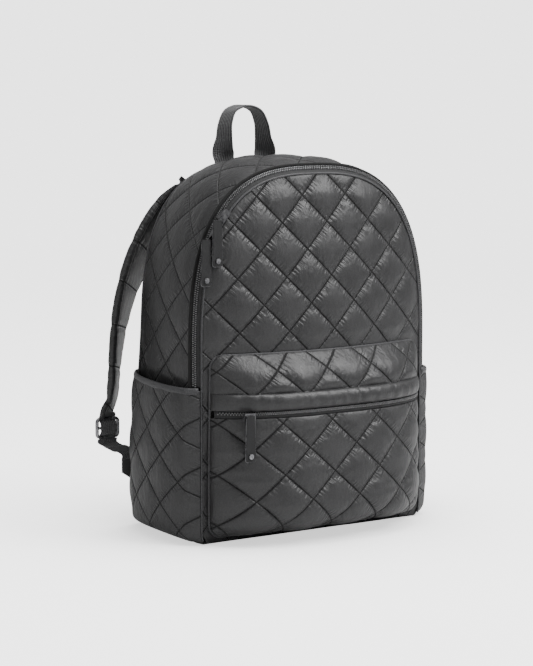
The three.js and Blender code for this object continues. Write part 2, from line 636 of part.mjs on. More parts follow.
// Pulls hang straight down from their sliders, in front of the zipper.
function roundedPlate(width, height, corner, depth) {
  const shape = new THREE.Shape();
  const x = width / 2;
  const z = height / 2;
  shape.moveTo(-x + corner, -z);
  shape.lineTo(x - corner, -z);
  shape.quadraticCurveTo(x, -z, x, -z + corner);
  shape.lineTo(x, z - corner);
  shape.quadraticCurveTo(x, z, x - corner, z);
  shape.lineTo(-x + corner, z);
  shape.quadraticCurveTo(-x, z, -x, z - corner);
  shape.lineTo(-x, -z + corner);
  shape.quadraticCurveTo(-x, -z, -x + corner, -z);
  const plate = new THREE.ExtrudeGeometry(shape, { depth, bevelEnabled: false, curveSegments: 2 });
  return plate.rotateX(Math.PI / 2).translate(0, depth / 2, 0);
}

function pullGeometry() {
  const { length, topWidth, endWidth, thickness } = PULL;
  const shape = new THREE.Shape();
  const corner = 3;
  shape.moveTo(-topWidth / 2, 0);
  shape.lineTo(-endWidth / 2, -length + corner);
  shape.quadraticCurveTo(-endWidth / 2, -length, -endWidth / 2 + corner, -length);
  shape.lineTo(endWidth / 2 - corner, -length);
  shape.quadraticCurveTo(endWidth / 2, -length, endWidth / 2, -length + corner);
  shape.lineTo(topWidth / 2, 0);
  shape.closePath();
  const plate = new THREE.ExtrudeGeometry(shape, { depth: thickness, bevelEnabled: false, curveSegments: 2 });
  return plate.rotateX(Math.PI / 2).translate(0, thickness / 2, 0);
}

// A slider on the zipper, with an arm that carries the pull hanging at an offset from it.
function addPull(name, seat, hang, lean) {
  const body = roundedPlate(SLIDER.width, SLIDER.length, 2, SLIDER.height);
  body.rotateY(lean).translate(seat.x, seat.y, seat.z);
  const top = new THREE.Vector3(seat.x - hang.side, seat.y - hang.front, seat.z - hang.down);
  const tip = new THREE.Vector3(top.x, top.y + PULL.thickness / 2 + GAP, top.z - ARM_WIDTH);
  const side = new THREE.Vector3(0, 0, ARM_WIDTH / 2);
  const face = new THREE.Vector3(0, ARM_THICKNESS / 2, 0);
  const ends = [seat.clone().setY(seat.y - SLIDER.height / 2), tip];
  for (const end of ends) end.setY(end.y + ARM_THICKNESS / 2);
  const arm = stripGeometry(ends.map((centre) => ({ centre, side, face })), FLAT_SECTION);
  addMesh(name.replace("pull", "slider"), fromSolid(toSolid(body).add(toSolid(arm))), DARK_METAL);
  addMesh(name, pullGeometry().translate(top.x, top.y, top.z), RUBBER);
  const rivet = new THREE.CylinderGeometry(RIVET.radius, RIVET.radius, RIVET.height, 10);
  const front = top.y - PULL.thickness / 2 - GAP - RIVET.height / 2;
  rivet.translate(top.x, front, top.z - PULL.length + 2 * RIVET.radius);
  addMesh(name + "_rivet", rivet, DARK_METAL);
}

function sideLengthAt(z) {
  let s = 0;
  while (outlinePlace(s).z < z) s += 0.5;
  return s;
}

function buildPulls() {
  for (const { name, up, hang, lean } of MAIN_PULLS) {
    const y = CHAIN_Y - CHAIN_WIDTH / 2;
    const onChain = bodyPoint(sideLengthAt(up * BODY_HEIGHT), y, 0);
    addPull(name, onChain.setY(y - CHAIN_HEIGHT - SLIDER.height / 2 - 4 * GAP), hang, lean);
  }
  const { x, z } = POCKET_SLIDER;
  const front = pocketSkinY(x + SLIDER.length / 2, z) - CHAIN_HEIGHT - SLIDER.height / 2 - GAP;
  addPull("pocket_pull", new THREE.Vector3(x, front, z), POCKET_HANG, Math.PI / 2);
}

// Haul handle: a webbing loop that stands on the rear top seam, turned to lie flat at its feet.
function topHeight(x, y) {
  let s = OUTLINE_LENGTH / 2;
  while (Math.abs(bodyPoint(s, y).x) < Math.abs(x)) s -= 0.5;
  return bodyPoint(s, y).z;
}

function buildHandle() {
  const y = REAR_Y - HANDLE_THICKNESS;
  const seamPuff = (PUFF * HANDLE_THICKNESS * 2.2) / EDGE_FADE;
  const foot = topHeight(HANDLE_FOOT_SPREAD - HANDLE_WIDTH / 2, y) + seamPuff + GAP;
  const up = HANDLE_RISE;
  const half = HANDLE_HALF_SPAN;
  const route = [
    { x: -HANDLE_FOOT_SPREAD, z: foot, turn: 90 },
    { x: -HANDLE_FOOT_SPREAD - 1, z: foot + 0.1 * up, turn: 78 },
    { x: -half - 2, z: foot + 0.22 * up, turn: 42 },
    { x: -half, z: foot + 0.42 * up, turn: 16 },
    { x: -half + 2, z: foot + 0.68 * up, turn: 6 },
    { x: -half * 0.68, z: foot + 0.9 * up, turn: 0 },
    { x: -half * 0.32, z: foot + 0.98 * up, turn: 0 },
    { x: 0, z: foot + up, turn: 0 },
  ];
  for (const row of route) row.x += (HANDLE_SHIFT * (row.z - foot)) / up;
  const other = route.slice(0, -1).reverse().map(({ x, z, turn }) => {
    return { x: -x + (2 * HANDLE_SHIFT * (z - foot)) / up, z, turn: -turn };
  });
  const whole = route.concat(other);
  const curve = new THREE.CatmullRomCurve3(whole.map(({ x, z }) => new THREE.Vector3(x, y, z)));
  const count = 28;
  const stations = [];
  for (let i = 0; i <= count; i++) {
    const share = i / count;
    const centre = curve.getPoint(share);
    const along = curve.getTangent(share);
    const at = share * (whole.length - 1);
    const k = Math.min(whole.length - 2, Math.floor(at));
    const turn = THREE.MathUtils.degToRad(THREE.MathUtils.lerp(whole[k].turn, whole[k + 1].turn, at - k));
    const across = new THREE.Vector3(0, 1, 0).applyAxisAngle(along, turn);
    const face = new THREE.Vector3().crossVectors(along, across).normalize();
    across.crossVectors(face, along).normalize();
    stations.push({
      centre,
      side: across.multiplyScalar(HANDLE_WIDTH / 2),
      face: face.multiplyScalar(HANDLE_THICKNESS / 2),
    });
  }
  addMesh("haul_handle", stripGeometry(stations, FLAT_SECTION), WEBBING);
}

// Left strap: padded from the top seam to a tapered end, then webbing through the buckle to its anchor.
function strapPoint({ across, behind, up }) {
  return new THREE.Vector3(-across * HALF_WIDTH, REAR_Y + behind * STRAP_STANDOFF, up * BODY_HEIGHT);
}

function strapStations(curve, count, turnAt, widthAt) {
  const stations = [];
  for (let i = 0; i <= count; i++) {
    const share = i / count;
    const thickness = Math.min(STRAP_THICKNESS, widthAt(share) * STRAP_END_FULLNESS);
    stations.push(webbingStation(curve.getPoint(share), curve.getTangent(share), turnAt(share), widthAt(share), thickness));
  }
  return stations;
}

function tableAt(table, key, share) {
  const at = share * (table.length - 1);
  const k = Math.min(table.length - 2, Math.floor(at));
  return THREE.MathUtils.lerp(table[k][key], table[k + 1][key], at - k);
}

function buildStraps() {
  const buckle = strapPoint(BUCKLE);
  const frame = BUCKLE.tall / 2 + GAP;
  const route = STRAP_TABLE.map(strapPoint);
  route.push(buckle.clone().add(new THREE.Vector3(0, 0, frame + STRAP_END)));
  route.push(buckle.clone().add(new THREE.Vector3(0, 0, frame)));
  const curve = new THREE.CatmullRomCurve3(route);
  const endWidth = WEBBING_WIDTH / STRAP_WIDTH;
  const rows = STRAP_TABLE.concat({ turn: 30, width: endWidth }, { turn: 15, width: endWidth });
  const turnAt = (share) => tableAt(rows, "turn", share);
  const widthAt = (share) => STRAP_WIDTH * tableAt(rows, "width", share);
  const padded = strapStations(curve, 26, turnAt, widthAt);
  const strap = stripGeometry(padded, PADDED_SECTION);
  addMesh("shoulder_strap_left", strap, NYLON);
  addMesh("shoulder_strap_right", mirrored(strap), NYLON);

  const anchor = anchorPlace();
  const lower = [
    buckle.clone().add(new THREE.Vector3(0, 0, -frame)),
    buckle.clone().add(new THREE.Vector3(0, 0, -frame - BUCKLE.rim)),
    anchor.clone().add(new THREE.Vector3(0, 0, ANCHOR.tall / 2 + GAP + BUCKLE.rim)),
    anchor.clone().add(new THREE.Vector3(0, 0, ANCHOR.tall / 2 + GAP)),
  ];
  const lowerStrip = stripGeometry(webbingStations(lower, [0, 0, 0, 0]), FLAT_SECTION);
  addMesh("strap_webbing_left", lowerStrip, WEBBING);
  addMesh("strap_webbing_right", mirrored(lowerStrip), WEBBING);

  buildBuckle(buckle);
  buildKeeper(lower[1], lower[2]);
  buildAnchor(anchor);
}

// Stations of flat webbing through a few points, level across wherever a turn is 0 and it hangs plumb.
function webbingStations(route, turns) {
  return route.map((centre, i) => {
    const before = route[Math.max(0, i - 1)];
    const after = route[Math.min(route.length - 1, i + 1)];
    const along = i === 0 || i === route.length - 1 ? after.clone().sub(before) : new THREE.Vector3(0, 0, -1);
    return webbingStation(centre, along.normalize(), turns[i], WEBBING_WIDTH, WEBBING_THICKNESS);
  });
}

function webbingStation(centre, along, turnDegrees, width, thickness) {
  const turn = THREE.MathUtils.degToRad(turnDegrees);
  const across = new THREE.Vector3(Math.cos(turn), Math.sin(turn), 0);
  across.addScaledVector(along, -across.dot(along)).normalize();
  const face = new THREE.Vector3().crossVectors(along, across).normalize();
  return { centre, side: across.multiplyScalar(width / 2), face: face.multiplyScalar(thickness / 2) };
}

function buildBuckle(centre) {
  const ring = roundedPlate(BUCKLE.wide, BUCKLE.tall, 6, BUCKLE.thickness);
  const hole = roundedPlate(BUCKLE.wide - 2 * BUCKLE.rim, BUCKLE.tall - 2 * BUCKLE.rim, 3, 3 * BUCKLE.thickness);
  const bar = new THREE.BoxGeometry(BUCKLE.wide - BUCKLE.rim, BUCKLE.thickness / 2, BUCKLE.rim);
  const frame = toSolid(ring).subtract(toSolid(hole)).add(toSolid(bar));
  const buckle = fromSolid(frame).translate(centre.x, centre.y, centre.z);
  addMesh("strap_buckle_left", buckle, BUCKLE_METAL);
  addMesh("strap_buckle_right", mirrored(buckle), BUCKLE_METAL);
}

// A sleeve round the slanting stretch of the lower webbing.
function buildKeeper(from, to) {
  const along = new THREE.Vector3(0, 0, -1);
  const sleeve = (reach, room) => {
    const stations = [-reach, reach].map((offset) => {
      const centre = from.clone().lerp(to, KEEPER.share + offset / from.distanceTo(to));
      return webbingStation(centre, along, 0, WEBBING_WIDTH + 2 * room, WEBBING_THICKNESS + 2 * room);
    });
    return toSolid(stripGeometry(stations, FLAT_SECTION));
  };
  const outer = sleeve(KEEPER.length / 2, GAP + KEEPER.thickness);
  const keeper = fromSolid(outer.subtract(sleeve(KEEPER.length, GAP)));
  addMesh("strap_keeper_left", keeper, WEBBING);
  addMesh("strap_keeper_right", mirrored(keeper), WEBBING);
}

// A stitched tab on the lower rear corner that the webbing is sewn to.
function anchorPlace() {
  const x = -ANCHOR.across * HALF_WIDTH;
  const z = ANCHOR.up * BODY_HEIGHT;
  let seat = 0;
  for (let i = 0; i <= 8; i++) {
    const across = Math.max(-HALF_WIDTH + REAR_TAPER_SIDE / 2, x - ANCHOR.reach + (ANCHOR.reach * i) / 4);
    for (let j = 0; j <= 8; j++) {
      const up = z + ANCHOR.tall * (j / 8 - 0.5);
      seat = Math.max(seat, backPanelY(across, up) + WALL + backPuff(across, up));
    }
  }
  return new THREE.Vector3(x, seat + ANCHOR.lift + ANCHOR.thickness / 2, z);
}

function buildAnchor(centre) {
  const shape = new THREE.Shape();
  shape.moveTo(ANCHOR.reach, -ANCHOR.tall / 2);
  shape.lineTo(ANCHOR.reach, ANCHOR.tall / 2);
  shape.lineTo(-ANCHOR.reach, ANCHOR.tall / 2);
  shape.lineTo(-ANCHOR.reach, 0);
  shape.closePath();
  const tab = new THREE.ExtrudeGeometry(shape, { depth: ANCHOR.thickness, bevelEnabled: false });
  tab.rotateX(Math.PI / 2).translate(centre.x, centre.y + ANCHOR.thickness / 2, centre.z);
  addMesh("strap_anchor_left", tab, WEBBING);
  addMesh("strap_anchor_right", mirrored(tab), WEBBING);
}

buildGusset();
buildBase();
buildFrontPanel();
buildBackPanel();
buildMainZipper();
buildPocketHood();
buildPocketFace();
buildPocketZipper();
buildSidePocket();
buildPulls();
buildHandle();
buildStraps();

export default backpack;
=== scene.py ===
# Quilted puffer backpack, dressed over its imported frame. Shapes are worked out in millimetres.
# The frame is +X to the right seen from the front, the front faces -Y, and +Z is up.
import math
import bpy
import numpy as np
from mathutils import Matrix, Vector


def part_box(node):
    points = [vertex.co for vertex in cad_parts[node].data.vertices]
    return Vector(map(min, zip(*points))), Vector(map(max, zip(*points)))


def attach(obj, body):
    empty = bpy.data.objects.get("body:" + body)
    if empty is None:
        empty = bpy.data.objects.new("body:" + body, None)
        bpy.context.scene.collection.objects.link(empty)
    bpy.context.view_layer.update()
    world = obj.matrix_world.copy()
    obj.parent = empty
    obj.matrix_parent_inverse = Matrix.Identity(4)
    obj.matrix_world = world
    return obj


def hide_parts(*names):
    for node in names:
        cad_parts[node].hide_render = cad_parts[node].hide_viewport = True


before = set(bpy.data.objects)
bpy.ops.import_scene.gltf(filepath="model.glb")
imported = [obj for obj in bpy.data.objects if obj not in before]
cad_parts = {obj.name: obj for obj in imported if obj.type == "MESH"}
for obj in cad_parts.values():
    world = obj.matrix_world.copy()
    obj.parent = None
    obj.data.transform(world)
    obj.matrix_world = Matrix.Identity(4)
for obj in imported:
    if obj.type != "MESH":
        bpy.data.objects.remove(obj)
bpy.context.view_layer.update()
MM = 0.001

# Body and panels
BODY_HEIGHT = 410
HALF_WIDTH = 157
SPRING_Z = 205
ARCH_POWER = 2.74
BASE_CORNER = 14
LIP_Y = -44
SEAM_Y = -52
SEAM_INSET = 9.8
REAR_Y = 91
REAR_TAPER_SIDE = 20
REAR_TAPER_TOP = 4
SIDE_CROWN = 4.5
FRONT_CROWN = 27
BACK_CROWN = 4
WALL = 2.5
PUFF = 5
TOP_SWELL = 5
GAP = 0.3
EDGE_FADE = 16
FRONT_HALF = HALF_WIDTH - SEAM_INSET
FRONT_TOP = BODY_HEIGHT - SEAM_INSET

# Quilting: width, height and origin of the diamonds on each panel
FRONT_QUILT = (58.2, 58.6, -19.5, 319)
SIDE_QUILT = (68, 57, 11, 251)
BACK_QUILT = (58.2, 58.6, 0, 200)
POCKET_QUILT = (61.6, 56.2, -43.1, 106.4)
SIDE_POCKET_QUILT = (56, 54, -7, 151)

# Front pocket
POCKET_TOP_Z = 208
POCKET_CREASE_Z = 167
POCKET_ROLL_Z = 148.2
POCKET_FACE_Z = 140.5
POCKET_BOTTOM_Z = 8
POCKET_HALF = FRONT_HALF - 7.5
POCKET_CORNER = 15
POCKET_BULGE = 48
POCKET_SAG = 12
POCKET_SHOULDER_Z = 46
ROLL_PUFF = 6.5
PANEL_FLAT_Z = 60

# Side pockets
RIM_FRONT_Z = 170
RIM_REAR_Z = 175
SIDE_POCKET_PUFF = 12
SIDE_POCKET_PEAK = 0.58
SIDE_POCKET_SHOULDER_Z = 55
SIDE_POCKET_CLEAR = 2.2
RIM_BINDING = 3

# Straps, shares of the half width, of the standoff behind the back and of the height
STRAP_WIDTH = 60
STRAP_THICKNESS = 11
STRAP_STANDOFF = 27
STRAP_SEAM_PITCH = 47
STRAP_ROOT = 45
STRAP_TABLE = [
    (0.36, 0.56, 0.925, 2, 1),
    (0.39, 0.66, 0.91, 4, 1),
    (0.436, 0.8, 0.895, 8, 1),
    (0.522, 0.95, 0.866, 13, 1),
    (0.63, 1.04, 0.822, 21, 1),
    (0.745, 1.11, 0.759, 29, 1),
    (0.838, 1.13, 0.69, 36, 1),
    (0.915, 1.09, 0.615, 43, 1),
    (0.967, 1.04, 0.537, 48, 1),
    (1.003, 0.96, 0.461, 52, 0.97),
    (1.03, 0.85, 0.395, 53, 0.8),
    (1.055, 0.77, 0.345, 46, 0.52),
]
WEBBING_WIDTH = 25
WEBBING_THICKNESS = 2

# Zipper teeth: pitch, and the size of one along, across and out of the tape
TEETH_PITCH = 2.4
TEETH_SIZE = (1.3, 1.7, 1.9)

# Parts of a diamond's width along the fine grids
PARTS = 32
GUSSET_PARTS = 28
BACK_PARTS = 20
NO_SEAMS = 10 ** 6

# Radii of the tubes along the seams, the rims and the pulls
LIP_RADIUS = 1.8
SEAM_RADIUS = 1.2
CORNER_RADIUS = 1.0
BACK_RADIUS = 1.5
POCKET_RADIUS = 1.4
RIM_RADIUS = 1.9
WIRE_RADIUS = 0.5

# Haul handle
HANDLE_HALF = 27
HANDLE_RISE = 65
HANDLE_SHIFT = -2
HANDLE_THICKNESS = 2.6

# Camera of the photograph: degrees, lens in millimetres, distances in metres
CAMERA_AZIMUTH = -33.85
CAMERA_PITCH = 6.74
CAMERA_LENS = 120.3
CAMERA_DISTANCE = 2.52067
CAMERA_AIM_Z = 0.21833
CAMERA_SHIFT = 0.02368


def smoothstep(low, high, value):
    t = np.clip((np.asarray(value, float) - low) / (high - low), 0, 1)
    return t * t * (3 - 2 * t)


# A repeatable value from 0 to 1 for each point of a grid
def hashed(i, j, seed):
    n = (i * 374761393 + j * 668265263 + seed * 362437) & 0x7FFFFFFF
    n = ((n ^ (n >> 13)) * 1274126177) & 0x7FFFFFFF
    return ((n ^ (n >> 16)) & 0xFFFF) / 65535.0


# Smooth noise between -1 and 1
def noise(x, y, seed):
    x, y = np.broadcast_arrays(np.asarray(x, float), np.asarray(y, float))
    i, j = np.floor(x).astype(np.int64), np.floor(y).astype(np.int64)
    u, v = x - i, y - j
    u, v = u * u * (3 - 2 * u), v * v * (3 - 2 * v)
    low = hashed(i, j, seed) * (1 - u) + hashed(i + 1, j, seed) * u
    high = hashed(i, j + 1, seed) * (1 - u) + hashed(i + 1, j + 1, seed) * u
    return 2 * (low * (1 - v) + high * v) - 1


def run_lengths(points):
    return np.concatenate([[0], np.cumsum(np.linalg.norm(np.diff(points, axis=0), axis=1))])


# Lip outline from the left end of the base over the arch to the right end
def outline_table():
    centre = HALF_WIDTH - BASE_CORNER
    a = np.linspace(0, math.pi / 2, 13)
    corner = np.column_stack([-centre - BASE_CORNER * np.sin(a), BASE_CORNER * (1 - np.cos(a))])
    a = np.linspace(0, math.pi, 401)
    c = np.cos(a)
    arch_x = -HALF_WIDTH * np.sign(c) * np.abs(c) ** (2 / ARCH_POWER)
    arch_z = SPRING_Z + (BODY_HEIGHT - SPRING_Z) * np.abs(np.sin(a)) ** (2 / ARCH_POWER)
    return np.vstack([corner, np.column_stack([arch_x, arch_z]), corner[::-1] * [-1, 1]])


OUTLINE = outline_table()
OUTLINE_LENGTHS = run_lengths(OUTLINE)
OUTLINE_LENGTH = OUTLINE_LENGTHS[-1]


def outline_place(s):
    s = np.clip(s, 0, OUTLINE_LENGTH)
    return np.interp(s, OUTLINE_LENGTHS, OUTLINE[:, 0]), np.interp(s, OUTLINE_LENGTHS, OUTLINE[:, 1])


def outline_at(s):
    x, z = outline_place(s)
    x0, z0 = outline_place(s - 2)
    x1, z1 = outline_place(s + 2)
    run = np.hypot(x1 - x0, z1 - z0)
    return x, z, -(z1 - z0) / run, (x1 - x0) / run


def length_at_height(z):
    return math.pi / 2 * BASE_CORNER + z - BASE_CORNER


def side_taper(z):
    return REAR_TAPER_SIDE * (0.5 + 0.5 * smoothstep(SPRING_Z * 0.4, SPRING_Z * 1.2, z))


# Points on the body's skin at distances along the outline and depths, moved out from the skin
def body_point(s, y, out=0.0):
    s, y, out = np.broadcast_arrays(np.asarray(s, float), np.asarray(y, float), np.asarray(out, float))
    px, pz, nx, nz = outline_at(s)
    depth = (y - LIP_Y) / (REAR_Y - LIP_Y)
    back = np.maximum(0, depth)
    inset = np.where(depth < 0, SEAM_INSET * (LIP_Y - y) / (LIP_Y - SEAM_Y), 0)
    crown = SIDE_CROWN * 4 * back * np.maximum(0, 1 - back) * smoothstep(0, BASE_CORNER, pz)
    grow = crown + out - inset
    rise = np.maximum(0, pz - SPRING_Z)
    top_share = 1 - REAR_TAPER_TOP * back / (BODY_HEIGHT - SPRING_Z)
    x = px * (1 - side_taper(pz) * back / HALF_WIDTH) + nx * grow
    z = np.minimum(pz, SPRING_Z) + rise * top_share + nz * np.where(nz > 0, grow, np.minimum(out, 0))
    return np.stack([x, y, z], -1)


def arch_half(z, half, top):
    share = np.clip((z - SPRING_Z) / (top - SPRING_Z), 0, 1)
    return half * (1 - share ** ARCH_POWER) ** (1 / ARCH_POWER)


# 1 on an arched outline, less inside it and more outside
def arch_reach(x, z, half, top):
    share = np.maximum(0, z - SPRING_Z) / (top - SPRING_Z)
    return ((np.abs(x) / half) ** ARCH_POWER + share ** ARCH_POWER) ** (1 / ARCH_POWER)


def edge_room(x, z, half, top):
    return np.maximum(0, 1 - arch_reach(x, z, half, top)) * half


# Share of the half width that the rounded lower corner leaves
def corner_share(z, half):
    drop = BASE_CORNER - np.minimum(z, BASE_CORNER)
    return 1 - (BASE_CORNER - np.sqrt(BASE_CORNER ** 2 - drop ** 2)) / half


# Places outside an outline are pulled onto it, and cells wholly outside aren't kept
def pulled_in(x, z, reach):
    outside = reach > 1
    pull = 1 / np.maximum(1, reach)
    keep = ~(outside[:-1, :-1] & outside[1:, :-1] & outside[:-1, 1:] & outside[1:, 1:])
    z = np.where(outside & (z > SPRING_Z), SPRING_Z + (z - SPRING_Z) * pull, z)
    return x * pull, z, outside, keep


def front_panel_y(x, z):
    half = np.maximum(1, arch_half(z, FRONT_HALF, FRONT_TOP))
    across = 1 - np.minimum(1, np.abs(x) / half) ** 2
    share = np.clip((z - SPRING_Z) / (FRONT_TOP - SPRING_Z), 0, 1)
    up = np.where(z > SPRING_Z, 1 - share ** 1.6, smoothstep(PANEL_FLAT_Z, SPRING_Z, z))
    return SEAM_Y - FRONT_CROWN * across * up


# Grid lines on a fine part of a diamond between two ends, so that seams run through the grid's corners
def quilt_lines(low, high, origin, pitch, parts):
    step = pitch / parts
    first = math.ceil((low - origin) / step - 0.3) - 1
    at, index = [low], [first]
    k = first + 1
    while origin + k * step < high - 0.3 * step:
        if origin + k * step > low + 0.3 * step:
            at.append(origin + k * step)
            index.append(k)
        k += 1
    at.append(high)
    index.append(index[-1] + 1)
    return np.array(at), np.array(index)


# A quilted sheet is simulated flat, pinned along its seams and blown up, and its diamonds are sampled
SAMPLE_CELLS = 4
SAMPLE_PARTS = 24
SAMPLE_SIDE = 41.3
SAMPLE_SCALE = 0.01
SAMPLE_FRAMES = 24
PILLOW_CAP = 4.8
CLOTH_SETTINGS = {
    "quality": 8,
    "mass": 0.1,
    "tension_stiffness": 15,
    "compression_stiffness": 15,
    "shear_stiffness": 5,
    "bending_stiffness": 0.02,
    "vertex_group_mass": "seams",
    "use_pressure": True,
    "uniform_pressure_force": 2,
    "shrink_min": -0.045,
}


def simulate_quilt():
    n = SAMPLE_CELLS * SAMPLE_PARTS + 1
    step = SAMPLE_SIDE * SAMPLE_SCALE / SAMPLE_PARTS
    j, i = np.divmod(np.arange(n * n), n)
    start = np.column_stack([i * step, j * step, np.zeros(n * n)])
    seam = (i % SAMPLE_PARTS == 0) | (j % SAMPLE_PARTS == 0)
    ids = np.arange(n * n).reshape(n, n)
    quads = np.stack([ids[:-1, :-1], ids[:-1, 1:], ids[1:, 1:], ids[1:, :-1]], -1).reshape(-1, 4)
    mesh = bpy.data.meshes.new("quilt_sample")
    mesh.from_pydata(start.tolist(), [], quads.tolist())
    sample = bpy.data.objects.new("quilt_sample", mesh)
    bpy.context.scene.collection.objects.link(sample)
    pins = sample.vertex_groups.new(name="seams")
    pins.add(np.nonzero(seam)[0].tolist(), 1.0, "REPLACE")
    cloth = sample.modifiers.new("cloth", "CLOTH")
    for key, value in CLOTH_SETTINGS.items():
        setattr(cloth.settings, key, value)
    cloth.settings.effector_weights.gravity = 0
    cloth.collision_settings.use_collision = False
    cloth.point_cache.frame_start = 1
    cloth.point_cache.frame_end = SAMPLE_FRAMES
    for frame_number in range(1, SAMPLE_FRAMES + 1):
        bpy.context.scene.frame_set(frame_number)
    done = sample.evaluated_get(bpy.context.evaluated_depsgraph_get())
    found = np.empty(n * n * 3)
    done.data.vertices.foreach_get("co", found)
    bpy.context.scene.frame_set(1)
    bpy.data.objects.remove(sample)
    return ((found.reshape(-1, 3) - start) / SAMPLE_SCALE).reshape(n, n, 3)


# The filling holds the simulated cloth to a flatter pillow than air would
def filled(sample):
    n = sample.shape[0]
    place = np.arange(n) / SAMPLE_PARTS
    u, v = np.meshgrid(place, place)
    pad = np.sqrt(np.abs(np.sin(np.pi * u) * np.sin(np.pi * v)))
    blown = PILLOW_CAP * np.tanh(sample[..., 2] / PILLOW_CAP)
    return 0.45 * PUFF * pad + 0.55 * blown


SAMPLE = filled(simulate_quilt())


# Height of the cloth at places on a quilted panel
def quilt_cloth(quilt, across, up, seed):
    wide, tall, across0, up0 = quilt
    u = (across - across0) / wide
    v = (up - up0) / tall
    p, q = u + v, u - v
    i, j = np.floor(p).astype(np.int64), np.floor(q).astype(np.int64)
    fp, fq = p - i, q - j
    pick = hashed(i, j, seed)
    turn = (hashed(i, j, seed + 7) * 7.99).astype(int)
    swap = turn >= 4
    fa, fb = np.where(swap, fq, fp), np.where(swap, fp, fq)
    fa = np.where(turn % 2 == 1, 1 - fa, fa)
    fb = np.where((turn // 2) % 2 == 1, 1 - fb, fb)
    cell = (pick * (SAMPLE_CELLS ** 2 - 0.01)).astype(int)
    a = (cell % SAMPLE_CELLS + fa) * SAMPLE_PARTS
    b = (cell // SAMPLE_CELLS + fb) * SAMPLE_PARTS
    a0 = np.clip(np.floor(a).astype(int), 0, SAMPLE.shape[1] - 2)
    b0 = np.clip(np.floor(b).astype(int), 0, SAMPLE.shape[0] - 2)
    ta, tb = a - a0, b - b0
    low = SAMPLE[b0, a0] * (1 - ta) + SAMPLE[b0, a0 + 1] * ta
    high = SAMPLE[b0 + 1, a0] * (1 - ta) + SAMPLE[b0 + 1, a0 + 1] * ta
    moved = low * (1 - tb) + high * tb
    return moved * (0.9 + 0.2 * hashed(i, j, seed + 3))


def quilt_uv(quilt, across, up):
    u = (across - quilt[2]) / quilt[0]
    v = (up - quilt[3]) / quilt[1]
    return np.stack([u + v, u - v], -1)


def unit(v):
    return v / np.maximum(1e-9, np.linalg.norm(v, axis=-1, keepdims=True))


def grid_normals(points, outward):
    du = np.gradient(points, axis=1)
    dv = np.gradient(points, axis=0)
    n = unit(np.cross(du, dv))
    if np.sum(n * outward) < 0:
        n = -n
    return n


MATERIALS = {}


def link(obj, material):
    bpy.context.scene.collection.objects.link(obj)
    obj.data.materials.append(MATERIALS[material])
    return obj


def make_mesh(name, points, faces, material, uv=None, smooth=True):
    mesh = bpy.data.meshes.new(name)
    mesh.from_pydata((np.asarray(points) * MM).tolist(), [], [list(f) for f in faces])
    mesh.polygons.foreach_set("use_smooth", [smooth] * len(mesh.polygons))
    if uv is not None:
        layer = mesh.uv_layers.new(name="UVMap")
        corners = np.empty(len(mesh.loops), int)
        mesh.loops.foreach_get("vertex_index", corners)
        layer.data.foreach_set("uv", np.asarray(uv, float)[corners].ravel())
    mesh.update()
    return link(bpy.data.objects.new(name, mesh), material)


# A padded sheet over a grid: outer skin, inner skin and a closed edge, without the cells that aren't kept
def sheet_piece(name, outer, inner, columns, rows, parts, material, uv, keep=None):
    tall, wide = outer.shape[:2]
    ids = np.arange(tall * wide).reshape(tall, wide)
    a, b, c, d = ids[:-1, :-1], ids[:-1, 1:], ids[1:, :-1], ids[1:, 1:]
    ci, rj = np.meshgrid(columns[:-1], rows[:-1])
    rising = (ci - rj) % parts == 0
    falling = (ci + rj + 1) % parts == 0
    rising = rising | (~falling & ((ci + rj) % 2 == 0))
    first = np.where(rising[..., None], np.stack([a, b, d], -1), np.stack([a, b, c], -1))
    second = np.where(rising[..., None], np.stack([a, d, c], -1), np.stack([b, d, c], -1))
    if keep is None:
        keep = np.ones(a.shape, bool)
    tris = np.concatenate([first[keep], second[keep]])
    flat = outer.reshape(-1, 3)
    n = np.cross(flat[tris[:, 1]] - flat[tris[:, 0]], flat[tris[:, 2]] - flat[tris[:, 0]])
    good = np.linalg.norm(n, axis=1) > 1e-6
    toward = (outer - inner).reshape(-1, 3)[tris[:, 0]]
    if np.sum(n * toward) < 0:
        tris = tris[:, [0, 2, 1]]
    tris = tris[good]
    edges = np.concatenate([tris[:, [0, 1]], tris[:, [1, 2]], tris[:, [2, 0]]])
    code = edges[:, 0].astype(np.int64) * flat.shape[0] + edges[:, 1]
    back = edges[:, 1].astype(np.int64) * flat.shape[0] + edges[:, 0]
    rim = edges[~np.isin(code, back)]
    layer = flat.shape[0]
    sides = np.concatenate([
        np.stack([rim[:, 1], rim[:, 0], rim[:, 0] + layer], -1),
        np.stack([rim[:, 1], rim[:, 0] + layer, rim[:, 1] + layer], -1),
    ])
    faces = np.concatenate([tris, tris[:, [0, 2, 1]] + layer, sides])
    points = np.concatenate([flat, inner.reshape(-1, 3)])
    used = np.unique(faces)
    renumber = np.zeros(points.shape[0], int)
    renumber[used] = np.arange(len(used))
    both = np.concatenate([uv.reshape(-1, 2)] * 2)
    return make_mesh(name, points[used], renumber[faces], material, both[used])


# A sheet without quilting
def plain_sheet(name, outer, inner, material):
    tall, wide = outer.shape[:2]
    uv = np.full((tall, wide, 2), 0.5)
    return sheet_piece(name, outer, inner, np.arange(wide), np.arange(tall), NO_SEAMS, material, uv)


# Faces between rings of points, with an end face on each end of an open tube
def tube_faces(rings, sides, closed=False):
    faces = []
    for k in range(rings if closed else rings - 1):
        m = (k + 1) % rings
        for t in range(sides):
            w = (t + 1) % sides
            faces.append((k * sides + t, k * sides + w, m * sides + w, m * sides + t))
    if not closed:
        faces.append(tuple(range(sides))[::-1])
        faces.append(tuple((rings - 1) * sides + t for t in range(sides)))
    return faces


